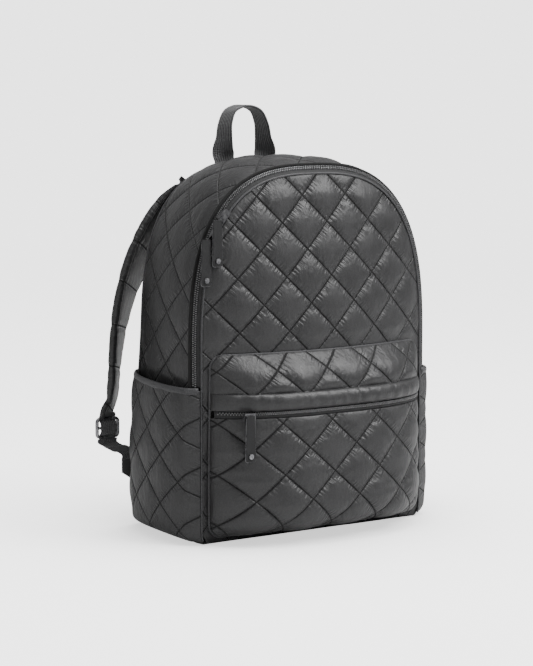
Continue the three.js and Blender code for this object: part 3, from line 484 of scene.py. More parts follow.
# A tube along a path with a round or flattened section
def tube_piece(name, path, radius, material, sides=8, closed=False, squash=1.0, face=None):
    path = np.asarray(path, float)
    if closed:
        along = unit(np.roll(path, -1, 0) - np.roll(path, 1, 0))
    else:
        along = unit(np.gradient(path, axis=0))
    if face is None:
        normal = np.zeros_like(path)
        current = np.array([0, 0, 1.0]) if abs(along[0][2]) < 0.9 else np.array([0, 1.0, 0])
        for k in range(len(path)):
            current = unit(current - along[k] * np.dot(current, along[k]))
            normal[k] = current
    else:
        face = np.broadcast_to(face, path.shape)
        normal = unit(face - along * np.sum(face * along, 1, keepdims=True))
    side = np.cross(along, normal)
    a = np.linspace(0, 2 * math.pi, sides, endpoint=False)
    r = np.broadcast_to(radius, (len(path),))
    ring = path[:, None] + r[:, None, None] * (
        np.cos(a)[None, :, None] * side[:, None] + squash * np.sin(a)[None, :, None] * normal[:, None])
    return make_mesh(name, ring.reshape(-1, 3), tube_faces(len(path), sides, closed), material)


def join_pieces(name, pieces):
    bpy.ops.object.select_all(action="DESELECT")
    for piece in pieces:
        piece.select_set(True)
    bpy.context.view_layer.objects.active = pieces[0]
    bpy.ops.object.join()
    pieces[0].name = name
    pieces[0].data.name = name
    return pieces[0]


# Folds along a diamond's side, and how far they reach into it as a share of its width
PUCKER_COUNT = 14
PUCKER_REACH = 0.27


# Nodes for the materials
class Nodes:
    def __init__(self, name):
        self.material = bpy.data.materials.new(name)
        self.material.use_nodes = True
        self.tree = self.material.node_tree
        self.tree.nodes.clear()
        self.output = self.add("ShaderNodeOutputMaterial")
        self.shader = self.add("ShaderNodeBsdfPrincipled")
        self.wire(self.shader.outputs[0], self.output.inputs[0])
        self.place = self.add("ShaderNodeTexCoord").outputs["Object"]

    def add(self, kind, **values):
        node = self.tree.nodes.new(kind)
        for key, value in values.items():
            setattr(node, key, value)
        return node

    def wire(self, out, into):
        if isinstance(out, (int, float)):
            into.default_value = out
        else:
            self.tree.links.new(out, into)

    def math(self, operation, a, b=0.0, c=0.0):
        node = self.add("ShaderNodeMath", operation=operation)
        for socket, value in zip(node.inputs, (a, b, c)):
            self.wire(value, socket)
        return node.outputs[0]

    def scaled(self, size, place=None):
        node = self.add("ShaderNodeMapping")
        self.wire(place or self.place, node.inputs["Vector"])
        node.inputs["Scale"].default_value = size if isinstance(size, tuple) else (size,) * 3
        return node.outputs[0]

    def noise(self, size, detail=3.0, rough=0.5, place=None):
        node = self.add("ShaderNodeTexNoise")
        self.wire(self.scaled(size, place), node.inputs["Vector"])
        node.inputs["Scale"].default_value = 1.0
        node.inputs["Detail"].default_value = detail
        node.inputs["Roughness"].default_value = rough
        return node.outputs["Fac"]

    def span(self, value, low, high, to_low, to_high):
        node = self.add("ShaderNodeMapRange", clamp=True, interpolation_type="SMOOTHSTEP")
        for key, number in (("From Min", low), ("From Max", high), ("To Min", to_low), ("To Max", to_high)):
            node.inputs[key].default_value = number
        self.wire(value, node.inputs["Value"])
        return node.outputs[0]

    def blend(self, share, a, b):
        node = self.add("ShaderNodeMix", data_type="RGBA")
        self.wire(share, node.inputs["Factor"])
        for colour, socket in ((a, node.inputs["A"]), (b, node.inputs["B"])):
            if isinstance(colour, tuple):
                socket.default_value = (*colour, 1)
            else:
                self.wire(colour, socket)
        return node.outputs["Result"]

    def bump(self, height, depth, strength=1.0, before=None):
        node = self.add("ShaderNodeBump")
        node.inputs["Strength"].default_value = strength
        node.inputs["Distance"].default_value = depth
        self.wire(height, node.inputs["Height"])
        if before is not None:
            self.wire(before, node.inputs["Normal"])
        return node.outputs[0]

    # Short folds that run square off a seam and die out
    def pucker(self, along, near, turn):
        line = self.add("ShaderNodeCombineXYZ")
        self.wire(self.math("MULTIPLY", along, PUCKER_COUNT), line.inputs[0])
        self.wire(self.math("MULTIPLY", near, 1.5), line.inputs[1])
        line.inputs[2].default_value = turn
        folds = self.add("ShaderNodeTexNoise")
        self.wire(line.outputs[0], folds.inputs["Vector"])
        folds.inputs["Scale"].default_value = 1.0
        folds.inputs["Detail"].default_value = 1.5
        height = self.span(folds.outputs["Fac"], 0.3, 0.7, 0.0, 1.0)
        return self.math("MULTIPLY", height, self.span(near, 0.0, PUCKER_REACH, 1.0, 0.0))

    def finish(self, colour=None, rough=None, normal=None, **plain):
        for out, key in ((colour, "Base Color"), (rough, "Roughness"), (normal, "Normal")):
            if isinstance(out, tuple):
                self.shader.inputs[key].default_value = (*out, 1)
            elif out is not None:
                self.wire(out, self.shader.inputs[key])
        for key, value in plain.items():
            self.shader.inputs[key.replace("_", " ").title().replace("Ior", "IOR")].default_value = value
        return self.material


# Padded nylon: fine plain weave, soft creases and pulled-in seams, with painted shade darkening the cloth in
# the dips along the seams
def nylon_material():
    n = Nodes("quilted_nylon")
    mottled = n.noise(35, 4, 0.6)
    fine = n.noise(900, 2, 0.6)
    uv = n.add("ShaderNodeUVMap").outputs[0]
    parts = n.add("ShaderNodeSeparateXYZ")
    n.wire(uv, parts.inputs[0])
    near_p = n.math("PINGPONG", parts.outputs[0], 0.5)
    near_q = n.math("PINGPONG", parts.outputs[1], 0.5)
    near = n.math("MINIMUM", near_p, near_q)
    seam = n.span(near, 0.006, 0.034, 1.0, 0.0)
    # Painted shade: a mask that is 1 at a seam and fades out an eighth of a diamond's width away from it
    painted_shade = n.span(near, 0.0, 0.12, 1.0, 0.0)
    wrinkle = n.noise((260, 260, 110), 3, 0.55)
    puckers = [n.pucker(parts.outputs[1], near_p, 0.0), n.pucker(parts.outputs[0], near_q, 9.0)]
    colour = n.blend(n.span(mottled, 0.3, 0.7, 0.0, 1.0), (0.0115, 0.0113, 0.0118), (0.017, 0.0167, 0.0175))
    colour = n.blend(n.span(fine, 0.35, 0.7, 0.0, 0.35), colour, (0.045, 0.045, 0.047))
    # The cloth is darkened towards the seams by this painted shade
    colour = n.blend(n.math("MULTIPLY", painted_shade, 0.35), colour, (0.008, 0.008, 0.009))
    colour = n.blend(n.math("MULTIPLY", seam, 0.95), colour, (0.003, 0.003, 0.003))
    rough = n.math("MAXIMUM", n.span(mottled, 0.3, 0.7, 0.4, 0.5), n.math("MULTIPLY", seam, 0.95))
    normal = n.bump(wrinkle, 0.0012, 0.55)
    normal = n.bump(n.math("ADD", puckers[0], puckers[1]), 0.0009, 0.8, normal)
    normal = n.bump(n.math("SUBTRACT", 1.0, seam), 0.0009, 0.9, normal)
    normal = n.bump(fine, 0.00012, 0.6, normal)
    return n.finish(colour, rough, normal, sheen_weight=0.06, sheen_roughness=0.4, specular_ior_level=0.55)


# A fine grain between two tones. The roughness is one number, or a low and a high one that follow the grain.
def grained_material(name, grain, low, high, rough, bump, **plain):
    n = Nodes(name)
    fine = n.noise(*grain)
    colour = n.blend(n.span(fine, 0.3, 0.7, 0.0, 1.0), low, high)
    if isinstance(rough, tuple):
        rough = n.span(fine, 0.3, 0.7, *rough)
    return n.finish(colour, rough, n.bump(fine, *bump), **plain)


def binding_material():
    return grained_material("edge_binding", (700, 3, 0.6), (0.022, 0.022, 0.024), (0.05, 0.05, 0.053),
                            0.55, (0.0004, 0.6), sheen_weight=0.2, sheen_roughness=0.4)


def tape_material():
    return grained_material("zipper_tape", (500, 3, 0.6), (0.01, 0.01, 0.0105), (0.02, 0.02, 0.021),
                            0.75, (0.0003, 0.6))


def teeth_material():
    return grained_material("zipper_teeth", (900, 2, 0.5), (0.15, 0.15, 0.153), (0.24, 0.24, 0.244),
                            (0.25, 0.4), (0.0002, 0.4), metallic=0.3)


def rubber_material():
    return grained_material("rubber_pull", (800, 3, 0.6), (0.008, 0.008, 0.0085), (0.02, 0.02, 0.021),
                            (0.6, 0.75), (0.0003, 0.6), specular_ior_level=0.35)


# Webbing: narrow ribs along its length from the second UV coordinate, with a fine cross weave. Its colour is
# painted shade of the ribs: darker in the grooves and lighter on the crests.
def webbing_material():
    n = Nodes("webbing")
    uv = n.add("ShaderNodeUVMap").outputs[0]
    parts = n.add("ShaderNodeSeparateXYZ")
    n.wire(uv, parts.inputs[0])
    across = n.math("SINE", n.math("MULTIPLY", parts.outputs[0], 2 * math.pi * 9))
    along = n.math("SINE", n.math("MULTIPLY", parts.outputs[1], 2 * math.pi / 1.6))
    fine = n.noise(600, 3, 0.6)
    height = n.math("ADD", across, n.math("MULTIPLY", along, 0.5))
    # Painted shade: the rib height darkens the grooves and lightens the crests
    share = n.span(height, -1.2, 1.4, 0.0, 1.0)
    colour = n.blend(share, (0.018, 0.018, 0.019), (0.055, 0.055, 0.058))
    colour = n.blend(n.span(fine, 0.35, 0.7, 0.0, 0.3), colour, (0.08, 0.08, 0.083))
    normal = n.bump(height, 0.0005, 0.7)
    normal = n.bump(fine, 0.0003, 0.5, normal)
    return n.finish(colour, 0.7, normal, sheen_weight=0.3, sheen_roughness=0.5)


def metal_material(name, low, high, rough):
    n = Nodes(name)
    worn = n.noise(160, 4, 0.6)
    fine = n.noise(1400, 2, 0.5)
    colour = n.blend(n.span(worn, 0.35, 0.65, 0.0, 1.0), low, high)
    uneven = n.span(worn, 0.3, 0.7, rough - 0.06, rough + 0.08)
    return n.finish(colour, uneven, n.bump(fine, 0.0001, 0.3), metallic=0.9)


MATERIALS.update(
    quilted_nylon=nylon_material(),
    edge_binding=binding_material(),
    zipper_tape=tape_material(),
    webbing=webbing_material(),
    zipper_teeth=teeth_material(),
    dark_metal=metal_material("dark_metal", (0.08, 0.08, 0.085), (0.16, 0.16, 0.165), 0.3),
    rubber_pull=rubber_material(),
    buckle_metal=metal_material("buckle_metal", (0.18, 0.18, 0.19), (0.3, 0.3, 0.31), 0.28),
)


# Puts a finished piece on its body in place of its CAD nodes
def settle(piece, *nodes, body="bag", fill=None):
    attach(piece, body)
    if nodes:
        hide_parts(*nodes)
    return piece


# Settles a left piece, and its mirror image on the right
def both_sides(piece, *nodes, fill=None):
    name = piece.name.replace("left", "right")
    mesh = piece.data.copy()
    mesh.transform(Matrix.Diagonal((-1, 1, 1, 1)))
    mesh.flip_normals()
    mesh.name = name
    copy = bpy.data.objects.new(name, mesh)
    bpy.context.scene.collection.objects.link(copy)
    for made, side in ((piece, "left"), (copy, "right")):
        settle(made, *(node.replace("left", side) for node in nodes), fill=fill)


# Front panel
def build_front_panel():
    columns, ci = quilt_lines(-FRONT_HALF + GAP, FRONT_HALF - GAP, FRONT_QUILT[2], FRONT_QUILT[0], PARTS)
    high, rj = quilt_lines(POCKET_TOP_Z - 6, FRONT_TOP + 2, FRONT_QUILT[3], FRONT_QUILT[1], PARTS)
    low = np.linspace(2, POCKET_TOP_Z - 10, 24)
    rows = np.concatenate([low, high])
    rj = np.concatenate([np.arange(rj[0] - len(low), rj[0]), rj])
    x, z = np.meshgrid(columns, rows)
    x = x * corner_share(z, FRONT_HALF)
    x, z, outside, keep = pulled_in(x, z, arch_reach(x, z, FRONT_HALF, FRONT_TOP))
    edge = np.minimum(1, edge_room(x, z, FRONT_HALF, FRONT_TOP) / EDGE_FADE)
    above = smoothstep(POCKET_TOP_Z - 4, POCKET_TOP_Z + 1.2 * EDGE_FADE, z)
    puff = quilt_cloth(FRONT_QUILT, x, z, 11)
    creases = noise(x / 7, z / 46, 5) * smoothstep(320, 380, z) + 0.5 * noise(x / 9, z / 30, 6)
    puff = puff * (edge ** 0.6) * above + 0.55 * creases * np.minimum(1, puff / 3) * edge * above
    base = np.stack([x, front_panel_y(x, z), z], -1)
    normal = grid_normals(base, np.array([0, -1, 0]))
    outer = base + normal * np.where(outside, 0, puff)[..., None]
    inner = base + np.array([0, WALL, 0])
    piece = sheet_piece("front_panel_cloth", outer, inner, ci, rj, PARTS, "quilted_nylon",
                        quilt_uv(FRONT_QUILT, x, z), keep)
    settle(piece, "front_panel", fill=0.6)


def back_reach(x, z):
    top_share = 1 - REAR_TAPER_TOP / (BODY_HEIGHT - SPRING_Z)
    pz = np.where(z > SPRING_Z, SPRING_Z + (z - SPRING_Z) / top_share, z)
    px = x / (1 - side_taper(pz) / HALF_WIDTH)
    return arch_reach(px, pz, HALF_WIDTH, BODY_HEIGHT)


# Back panel
def build_back_panel():
    columns, ci = quilt_lines(-HALF_WIDTH, HALF_WIDTH, BACK_QUILT[2], BACK_QUILT[0], BACK_PARTS)
    rows, rj = quilt_lines(2, BODY_HEIGHT, BACK_QUILT[3], BACK_QUILT[1], BACK_PARTS)
    x, z = np.meshgrid(columns, rows)
    x, z, _, keep = pulled_in(x, z, back_reach(x, z))
    x = x * corner_share(z, HALF_WIDTH)
    room = np.maximum(0, 1 - back_reach(x, z)) * (HALF_WIDTH - REAR_TAPER_SIDE)
    y = REAR_Y + GAP + BACK_CROWN * np.minimum(1, room / 48)
    puff = 0.55 * quilt_cloth(BACK_QUILT, x, z, 23) * np.minimum(1, room / EDGE_FADE) ** 0.7
    puff = puff * smoothstep(0, 2 * EDGE_FADE, z)
    outer = np.stack([x, y + WALL + puff, z], -1)
    inner = np.stack([x, y, z], -1)
    piece = sheet_piece("back_panel_cloth", outer, inner, ci, rj, BACK_PARTS, "quilted_nylon",
                        quilt_uv(BACK_QUILT, x, z), keep)
    settle(piece, "back_panel", fill=0.4)


ZIP_START = length_at_height(RIM_FRONT_Z)
ZIP_END = OUTLINE_LENGTH - ZIP_START
CLOSED_LIP_Y = SEAM_Y + WALL + 2 * GAP


# Gusset
def build_gusset():
    columns, ci = quilt_lines(LIP_Y, REAR_Y, SIDE_QUILT[2], SIDE_QUILT[0], GUSSET_PARTS)
    origin = length_at_height(SIDE_QUILT[3])
    quilt = (SIDE_QUILT[0], SIDE_QUILT[1], SIDE_QUILT[2], origin)
    high, rj = quilt_lines(ZIP_START, ZIP_END, origin, SIDE_QUILT[1], GUSSET_PARTS)
    low = np.concatenate([np.linspace(0, math.pi / 2 * BASE_CORNER, 9)[:-1],
                          np.linspace(math.pi / 2 * BASE_CORNER, ZIP_START, 12)[:-1]])
    rows = np.concatenate([low, high, OUTLINE_LENGTH - low[::-1]])
    before = np.arange(rj[0] - len(low), rj[0])
    after = np.arange(rj[-1] + 1, rj[-1] + 1 + len(low))
    rj = np.concatenate([before, rj, after])
    y, s = np.meshgrid(columns, rows)
    depth = np.where((y == LIP_Y) & ((s < ZIP_START) | (s > ZIP_END)), CLOSED_LIP_Y, y)
    edge = np.minimum(1, np.minimum(y - LIP_Y, REAR_Y - y) / EDGE_FADE) ** 0.6
    room = smoothstep(0, EDGE_FADE, np.minimum(s - ZIP_START, ZIP_END - s))
    puff = 0.6 * quilt_cloth(quilt, y, s, 37) * edge * room
    puff += 0.45 * noise(y / 8, s / 26, 9) * np.minimum(1, puff / 3)
    share = np.clip((y - LIP_Y) / (REAR_Y - LIP_Y), 0, 1)
    puff += TOP_SWELL * np.sin(math.pi * share) ** 0.8 * smoothstep(0.55, 0.97, outline_at(s)[3])
    base = body_point(s, depth)
    normal = grid_normals(body_point(s, y), body_point(s, y, 1) - body_point(s, y))
    outer = base + normal * puff[..., None]
    inner = body_point(s, depth, -WALL)
    piece = sheet_piece("gusset_cloth", outer, inner, ci, rj, GUSSET_PARTS, "quilted_nylon",
                        quilt_uv(quilt, y, s))
    settle(piece, "gusset_panel", fill=0.6)


# Base
def build_base():
    y = np.linspace(CLOSED_LIP_Y, REAR_Y, 40)
    half = -body_point(0.0, y, -WALL)[:, 0] - 2 * GAP
    across = np.linspace(-1, 1, 61)
    x = across[None, :] * half[:, None]
    yy = np.broadcast_to(y[:, None], x.shape)
    dip = 0.25 * noise(x / 30, yy / 30, 4) * (1 - across[None, :] ** 8)
    outer = np.stack([x, yy, np.maximum(0, 0.35 + dip)], -1)
    inner = np.stack([x, yy, np.full_like(x, WALL)], -1)
    settle(plain_sheet("base_cloth", outer, inner, "quilted_nylon"), "base_panel", fill=0.1)


def pocket_half_at(z):
    room = np.minimum(z - POCKET_BOTTOM_Z, POCKET_TOP_Z - z)
    drop = POCKET_CORNER - np.clip(room, 0, POCKET_CORNER)
    return POCKET_HALF - POCKET_CORNER + np.sqrt(POCKET_CORNER ** 2 - drop ** 2)


def pocket_bulge(x, z):
    across = (1 - np.minimum(1, np.abs(x) / POCKET_HALF) ** 3) ** 0.75
    low = np.clip((POCKET_SHOULDER_Z - z) / (POCKET_SHOULDER_Z - POCKET_BOTTOM_Z), 0, 1)
    sag = POCKET_SAG * (POCKET_FACE_Z - z) / (POCKET_FACE_Z - POCKET_SHOULDER_Z)
    return (POCKET_BULGE + sag) * across * (1 - low ** 2.2) ** 0.6


def pocket_skin_y(x, z):
    seat = 2 * GAP + WALL
    share = np.sin(math.pi / 2 * np.clip((POCKET_TOP_Z - z) / (POCKET_TOP_Z - POCKET_CREASE_Z), 0, 1))
    top = front_panel_y(x, POCKET_TOP_Z)
    crease = front_panel_y(POCKET_HALF, POCKET_CREASE_Z) - pocket_bulge(x, POCKET_CREASE_Z)
    band = np.minimum(front_panel_y(x, z), top + (crease - top) * share) - seat
    face = front_panel_y(POCKET_HALF, z) - pocket_bulge(x, z) - seat
    return np.where(z >= POCKET_CREASE_Z, band, face)


def pocket_edge_fade(x):
    return np.clip((POCKET_HALF - np.abs(x)) / EDGE_FADE, 0, 1) ** 0.6


# Hood of the front pocket with its roll over the zipper
def build_pocket_hood():
    columns, ci = quilt_lines(-POCKET_HALF, POCKET_HALF, POCKET_QUILT[2], POCKET_QUILT[0], PARTS)
    band, rj = quilt_lines(POCKET_CREASE_Z, POCKET_TOP_Z, POCKET_QUILT[3], POCKET_QUILT[1], PARTS)
    turn = np.linspace(0, 1, 17)[1:]
    drop = (1 - np.cos(turn * math.pi * 0.94)) / 2
    swell = np.sin(turn * math.pi) ** 0.85
    roll_z = POCKET_CREASE_Z - (POCKET_CREASE_Z - POCKET_ROLL_Z) * drop
    rows = np.concatenate([roll_z[::-1], band])
    swell = np.concatenate([swell[::-1], np.zeros(len(band))])
    is_roll = np.concatenate([np.ones(len(roll_z)), np.zeros(len(band))])
    rj = np.concatenate([np.arange(rj[0] - len(roll_z), rj[0]), rj])
    x, z = np.meshgrid(columns, rows)
    swell, is_roll = swell[:, None], is_roll[:, None]
    at = x * pocket_half_at(z) / POCKET_HALF
    ends = pocket_edge_fade(x)
    room = np.minimum(POCKET_TOP_Z - z, 2 * (z - POCKET_CREASE_Z))
    puff = quilt_cloth(POCKET_QUILT, at, z, 41) * np.clip(room / EDGE_FADE, 0, 1) ** 0.7 * ends
    puff += 0.5 * noise(at / 7, z / 18, 12) * np.minimum(1, puff / 3)
    roll = ROLL_PUFF * swell * (0.9 + 0.12 * noise(at / 34, 0.5, 13)) * (0.35 + 0.65 * ends)
    roll += 0.9 * noise(at / 5, z / 30, 14) * swell * ends
    lift = np.where(is_roll > 0, roll, puff)
    outer = np.stack([at, pocket_skin_y(at, z) - lift, z], -1)
    inner = np.stack([at, pocket_skin_y(at, z) + WALL - 0.7 * np.where(is_roll > 0, roll, 0), z], -1)
    uv = quilt_uv(POCKET_QUILT, at, z)
    uv[np.broadcast_to(is_roll > 0, x.shape)] = 0.5
    piece = sheet_piece("pocket_hood_cloth", outer, inner, ci, rj, PARTS, "quilted_nylon", uv)
    settle(piece, "front_pocket_hood", fill=0.7)


# Face of the front pocket
def build_pocket_face():
    columns, ci = quilt_lines(-POCKET_HALF, POCKET_HALF, POCKET_QUILT[2], POCKET_QUILT[0], PARTS)
    rows, rj = quilt_lines(POCKET_BOTTOM_Z, POCKET_FACE_Z, POCKET_QUILT[3], POCKET_QUILT[1], PARTS)
    x, z = np.meshgrid(columns, rows)
    at = x * pocket_half_at(z) / POCKET_HALF
    room = np.minimum(POCKET_FACE_Z - z, z - POCKET_BOTTOM_Z)
    fade = np.clip(room / EDGE_FADE, 0, 1) ** 0.6
    puff = quilt_cloth(POCKET_QUILT, at, z, 53) * fade * pocket_edge_fade(x)
    creases = noise(at / 40, z / 6.5, 15) + 0.5 * noise(at / 9, z / 12, 16)
    puff += 0.5 * creases * np.minimum(1, puff / 3)
    base = np.stack([at, pocket_skin_y(at, z), z], -1)
    normal = grid_normals(base, np.array([0, -1, 0]))
    outer = base + normal * puff[..., None]
    inner = base + np.array([0, WALL, 0])
    piece = sheet_piece("pocket_face_cloth", outer, inner, ci, rj, PARTS, "quilted_nylon",
                        quilt_uv(POCKET_QUILT, at, z))
    settle(piece, "front_pocket_face", fill=0.7)


def side_pocket_out(y, z):
    share = (y - SEAM_Y) / (REAR_Y - SEAM_Y)
    reach = np.where(share < SIDE_POCKET_PEAK, SIDE_POCKET_PEAK, 1 - SIDE_POCKET_PEAK)
    across = 1 - (np.abs(share - SIDE_POCKET_PEAK) / reach) ** 3
    low = np.clip((SIDE_POCKET_SHOULDER_Z - z) / SIDE_POCKET_SHOULDER_Z, 0, 1)
    clear = 2 * GAP + (SIDE_POCKET_CLEAR - 2 * GAP) * np.minimum(1, 4 * across)
    return clear + WALL + SIDE_POCKET_PUFF * across * (1 - low ** 2.5) ** 0.6


def rim_height(y):
    return RIM_FRONT_Z + (RIM_REAR_Z - RIM_FRONT_Z) * (y - SEAM_Y) / (REAR_Y - SEAM_Y)


# Side pockets with a bound rim
def build_side_pockets():
    parts = GUSSET_PARTS
    origin = length_at_height(SIDE_POCKET_QUILT[3])
    quilt = (SIDE_POCKET_QUILT[0], SIDE_POCKET_QUILT[1], SIDE_POCKET_QUILT[2], origin)
    corner = math.pi / 2 * BASE_CORNER
    top = length_at_height(RIM_FRONT_Z)
    wall, rj = quilt_lines(corner, top, origin, quilt[1], parts)
    foot = np.linspace(corner * 0.5, corner, 7)[:-1]
    rows = np.concatenate([foot, wall])
    rj = np.concatenate([np.arange(rj[0] - len(foot), rj[0]), rj])
    columns, ci = quilt_lines(SEAM_Y, REAR_Y, quilt[2], quilt[0], parts)
    y, s = np.meshgrid(columns, rows)
    lift = (length_at_height(rim_height(y)) - top) * smoothstep(top - 60, top, s)
    at = s + lift
    room = np.minimum(np.minimum(y - SEAM_Y, REAR_Y - y), (top - s) * 1.3)
    edge = np.clip(room / EDGE_FADE, 0, 1) ** 0.6
    puff = 0.5 * quilt_cloth(quilt, y, s, 61) * edge * smoothstep(corner, corner + 2 * EDGE_FADE, s)
    puff += 0.4 * noise(y / 7, s / 20, 17) * np.minimum(1, puff / 3)
    z = outline_place(at)[1]
    base = body_point(at, y, side_pocket_out(y, z))
    normal = grid_normals(base, np.array([-1, 0, 0]))
    outer = base + normal * puff[..., None]
    inner = body_point(at, y, side_pocket_out(y, z) - WALL)
    piece = sheet_piece("side_pocket_cloth_left", outer, inner, ci, rj, parts, "quilted_nylon",
                        quilt_uv(quilt, y, s))
    both_sides(piece, "side_pocket_left", fill=0.6)

    y = np.linspace(SEAM_Y + 1, REAR_Y - 1, 70)
    at = length_at_height(rim_height(y)) - 0.6
    path = body_point(at, y, side_pocket_out(y, RIM_FRONT_Z) - WALL / 2 + 0.3)
    face = body_point(at + 1, y, 0) - body_point(at, y, 0)
    rim = tube_piece("side_pocket_rim_left", path, RIM_RADIUS, "edge_binding", sides=10, squash=2.1,
                     face=face)
    both_sides(rim, "side_pocket_binding_left")


# Piped seams
def build_piping():
    s = np.linspace(ZIP_START - 2, ZIP_END + 2, 420)
    settle(tube_piece("lip_piping", body_point(s, LIP_Y + 0.6, 0.5), LIP_RADIUS, "quilted_nylon"))
    path = body_point(s, SEAM_Y + 0.2, 0.5) - [0, 0.4, 0]
    settle(tube_piece("panel_piping", path, SEAM_RADIUS, "edge_binding"))
    s = np.linspace(12, ZIP_START + 1, 120)
    path = body_point(s, SEAM_Y - 0.6, side_pocket_out(SEAM_Y, outline_place(s)[1]) - 1.2)
    both_sides(tube_piece("corner_piping_left", path, CORNER_RADIUS, "edge_binding"))
    s = np.linspace(ZIP_START * 0.1, OUTLINE_LENGTH - ZIP_START * 0.1, 420)
    settle(tube_piece("back_piping", body_point(s, REAR_Y + 0.2, 0.3), BACK_RADIUS, "edge_binding"))


def build_pocket_piping():
    loop = rounded_loop(2 * POCKET_HALF, POCKET_TOP_Z - POCKET_BOTTOM_Z, POCKET_CORNER, 9)
    loop = np.vstack([loop, loop[:1]]) + [0, (POCKET_TOP_Z + POCKET_BOTTOM_Z) / 2]
    lengths = run_lengths(loop)
    at = np.linspace(0, lengths[-1], 461)[:-1]
    x, z = np.interp(at, lengths, loop[:, 0]), np.interp(at, lengths, loop[:, 1])
    y = np.where(z > POCKET_TOP_Z - 1, front_panel_y(x, POCKET_TOP_Z), front_panel_y(POCKET_HALF, z))
    path = np.column_stack([x, y - 1.6, z])
    settle(tube_piece("pocket_piping", path, POCKET_RADIUS, "edge_binding", closed=True))


# A row of teeth along a path, each a tapered block in the path's own axes
def teeth_piece(name, centre, along, across, out):
    corners = np.array([[-1, -1, -1], [1, -1, -1], [1, 1, -1], [-1, 1, -1],
                        [-0.6, -0.8, 1], [0.6, -0.8, 1], [0.6, 0.8, 1], [-0.6, 0.8, 1]])
    block = corners * np.array(TEETH_SIZE) / 2
    points = (centre[:, None] + block @ np.stack([along, across, out], 1)).reshape(-1, 3)
    quads = np.array([[0, 3, 2, 1], [4, 5, 6, 7], [0, 1, 5, 4], [1, 2, 6, 5], [2, 3, 7, 6], [3, 0, 4, 7]])
    faces = (quads[None] + 8 * np.arange(len(centre))[:, None, None]).reshape(-1, 4)
    return make_mesh(name, points, faces, "zipper_teeth", smooth=False)


def build_main_zipper():
    clear = RIM_BINDING + 3 * GAP
    s = np.linspace(ZIP_START + clear, ZIP_END - clear, 500)
    y = np.linspace(SEAM_Y + 1.0, LIP_Y - 0.4, 7)
    yy, ss = np.meshgrid(y, s)
    ridge = 0.25 * np.sin((yy - SEAM_Y) * 3.2)
    outer = body_point(ss, yy, ridge * 0.4)
    inner = body_point(ss, yy, -1)
    settle(plain_sheet("main_tape", outer, inner, "zipper_tape"), "main_zipper_tape")
    count = int((ZIP_END - ZIP_START - 2 * clear) / TEETH_PITCH)
    s = np.linspace(ZIP_START + clear + 1, ZIP_END - clear - 1, count)
    rows = []
    for k, shift in ((0, -0.75), (1, 0.75)):
        at = s + k * TEETH_PITCH / 2
        y0 = LIP_Y - 2 - 1.25 + shift
        centre = body_point(at, y0, 1.2)
        along = unit(body_point(at + 1, y0) - body_point(at - 1, y0))
        across = unit(body_point(at, y0 + 0.5) - body_point(at, y0 - 0.5))
        out = unit(np.cross(along, across))
        out = out * np.sign(np.sum(out * (body_point(at, y0, 1) - body_point(at, y0)), 1, keepdims=True))
        rows.append(teeth_piece("main_teeth_%d" % k, centre, along, across, out))
    settle(join_pieces("main_teeth", rows), "main_zipper_teeth")


def build_pocket_zipper():
    low, high = POCKET_FACE_Z + GAP, POCKET_ROLL_Z - GAP
    x = np.linspace(-POCKET_HALF + WALL, POCKET_HALF - WALL, 160)
    z = np.linspace(low, high, 6)
    xx, zz = np.meshgrid(x, z)
    outer = np.stack([xx, pocket_skin_y(xx, zz) + 0.8, zz], -1)
    tape = plain_sheet("pocket_tape", outer, outer + [0, 1, 0], "zipper_tape")
    settle(tape, "front_pocket_zipper_tape")
    count = int((2 * POCKET_HALF - 2 * WALL - 4) / TEETH_PITCH)
    x = np.linspace(-POCKET_HALF + WALL + 2, POCKET_HALF - WALL - 2, count)
    rows = []
    for k, shift in ((0, -0.8), (1, 0.8)):
        at = x + k * TEETH_PITCH / 2
        z = np.full_like(at, high - 2 + shift)
        places = (at - 0.5, at, at + 0.5)
        before, centre, after = (np.stack([a, pocket_skin_y(a, z) - 0.4, z], -1) for a in places)
        along = unit(after - before)
        across = np.broadcast_to([0, 0, 1.0], along.shape)
        out = unit(np.cross(across, along))
        out = out * np.sign(-out[:, 1:2])
        rows.append(teeth_piece("pocket_teeth_%d" % k, centre, along, across, out))
    settle(join_pieces("pocket_teeth", rows), "front_pocket_zipper_teeth")


# Points of a smooth curve through a route, as shares of its spans
def spline(route, shares):
    route = np.asarray(route, float)
    last = len(route) - 1
    at = np.asarray(shares) * last
    k = np.minimum(last - 1, np.floor(at).astype(int))
    w = (at - k)[:, None]
    padded = np.vstack([2 * route[0] - route[1], route, 2 * route[-1] - route[-2]])
    p0, p1, p2, p3 = padded[k], padded[k + 1], padded[k + 2], padded[k + 3]
    gaps = (p1 - p0, p2 - p1, p3 - p2)
    d0, d1, d2 = (np.maximum(1e-4, np.linalg.norm(gap, axis=1, keepdims=True) ** 0.5) for gap in gaps)
    t1 = ((p1 - p0) / d0 - (p2 - p0) / (d0 + d1) + (p2 - p1) / d1) * d1
    t2 = ((p2 - p1) / d1 - (p3 - p1) / (d1 + d2) + (p3 - p2) / d2) * d1
    c2 = -3 * p1 + 3 * p2 - 2 * t1 - t2
    c3 = 2 * p1 - 2 * p2 + t1 + t2
    return p1 + t1 * w + c2 * w ** 2 + c3 * w ** 3


# A strap from stations: centre, side half axis and face half axis, with a closed section. The first UV
# coordinate runs from 0 to 1 between the seams, and the second along the strap.
def strap_piece(name, centre, side, face, section, material, seam=1.0, per_mm=1.0):
    section = np.asarray(section, float)
    ring = centre[:, None] + section @ np.stack([side, face], 1)
    n, m = len(centre), len(section)
    run = run_lengths(centre)
    across = (section[:, 0] / seam + 1) / 2
    uv = np.stack([np.broadcast_to(across, (n, m)), np.broadcast_to(run[:, None] * per_mm, (n, m))], -1)
    return make_mesh(name, ring.reshape(-1, 3), tube_faces(n, m), material, uv.reshape(-1, 2))


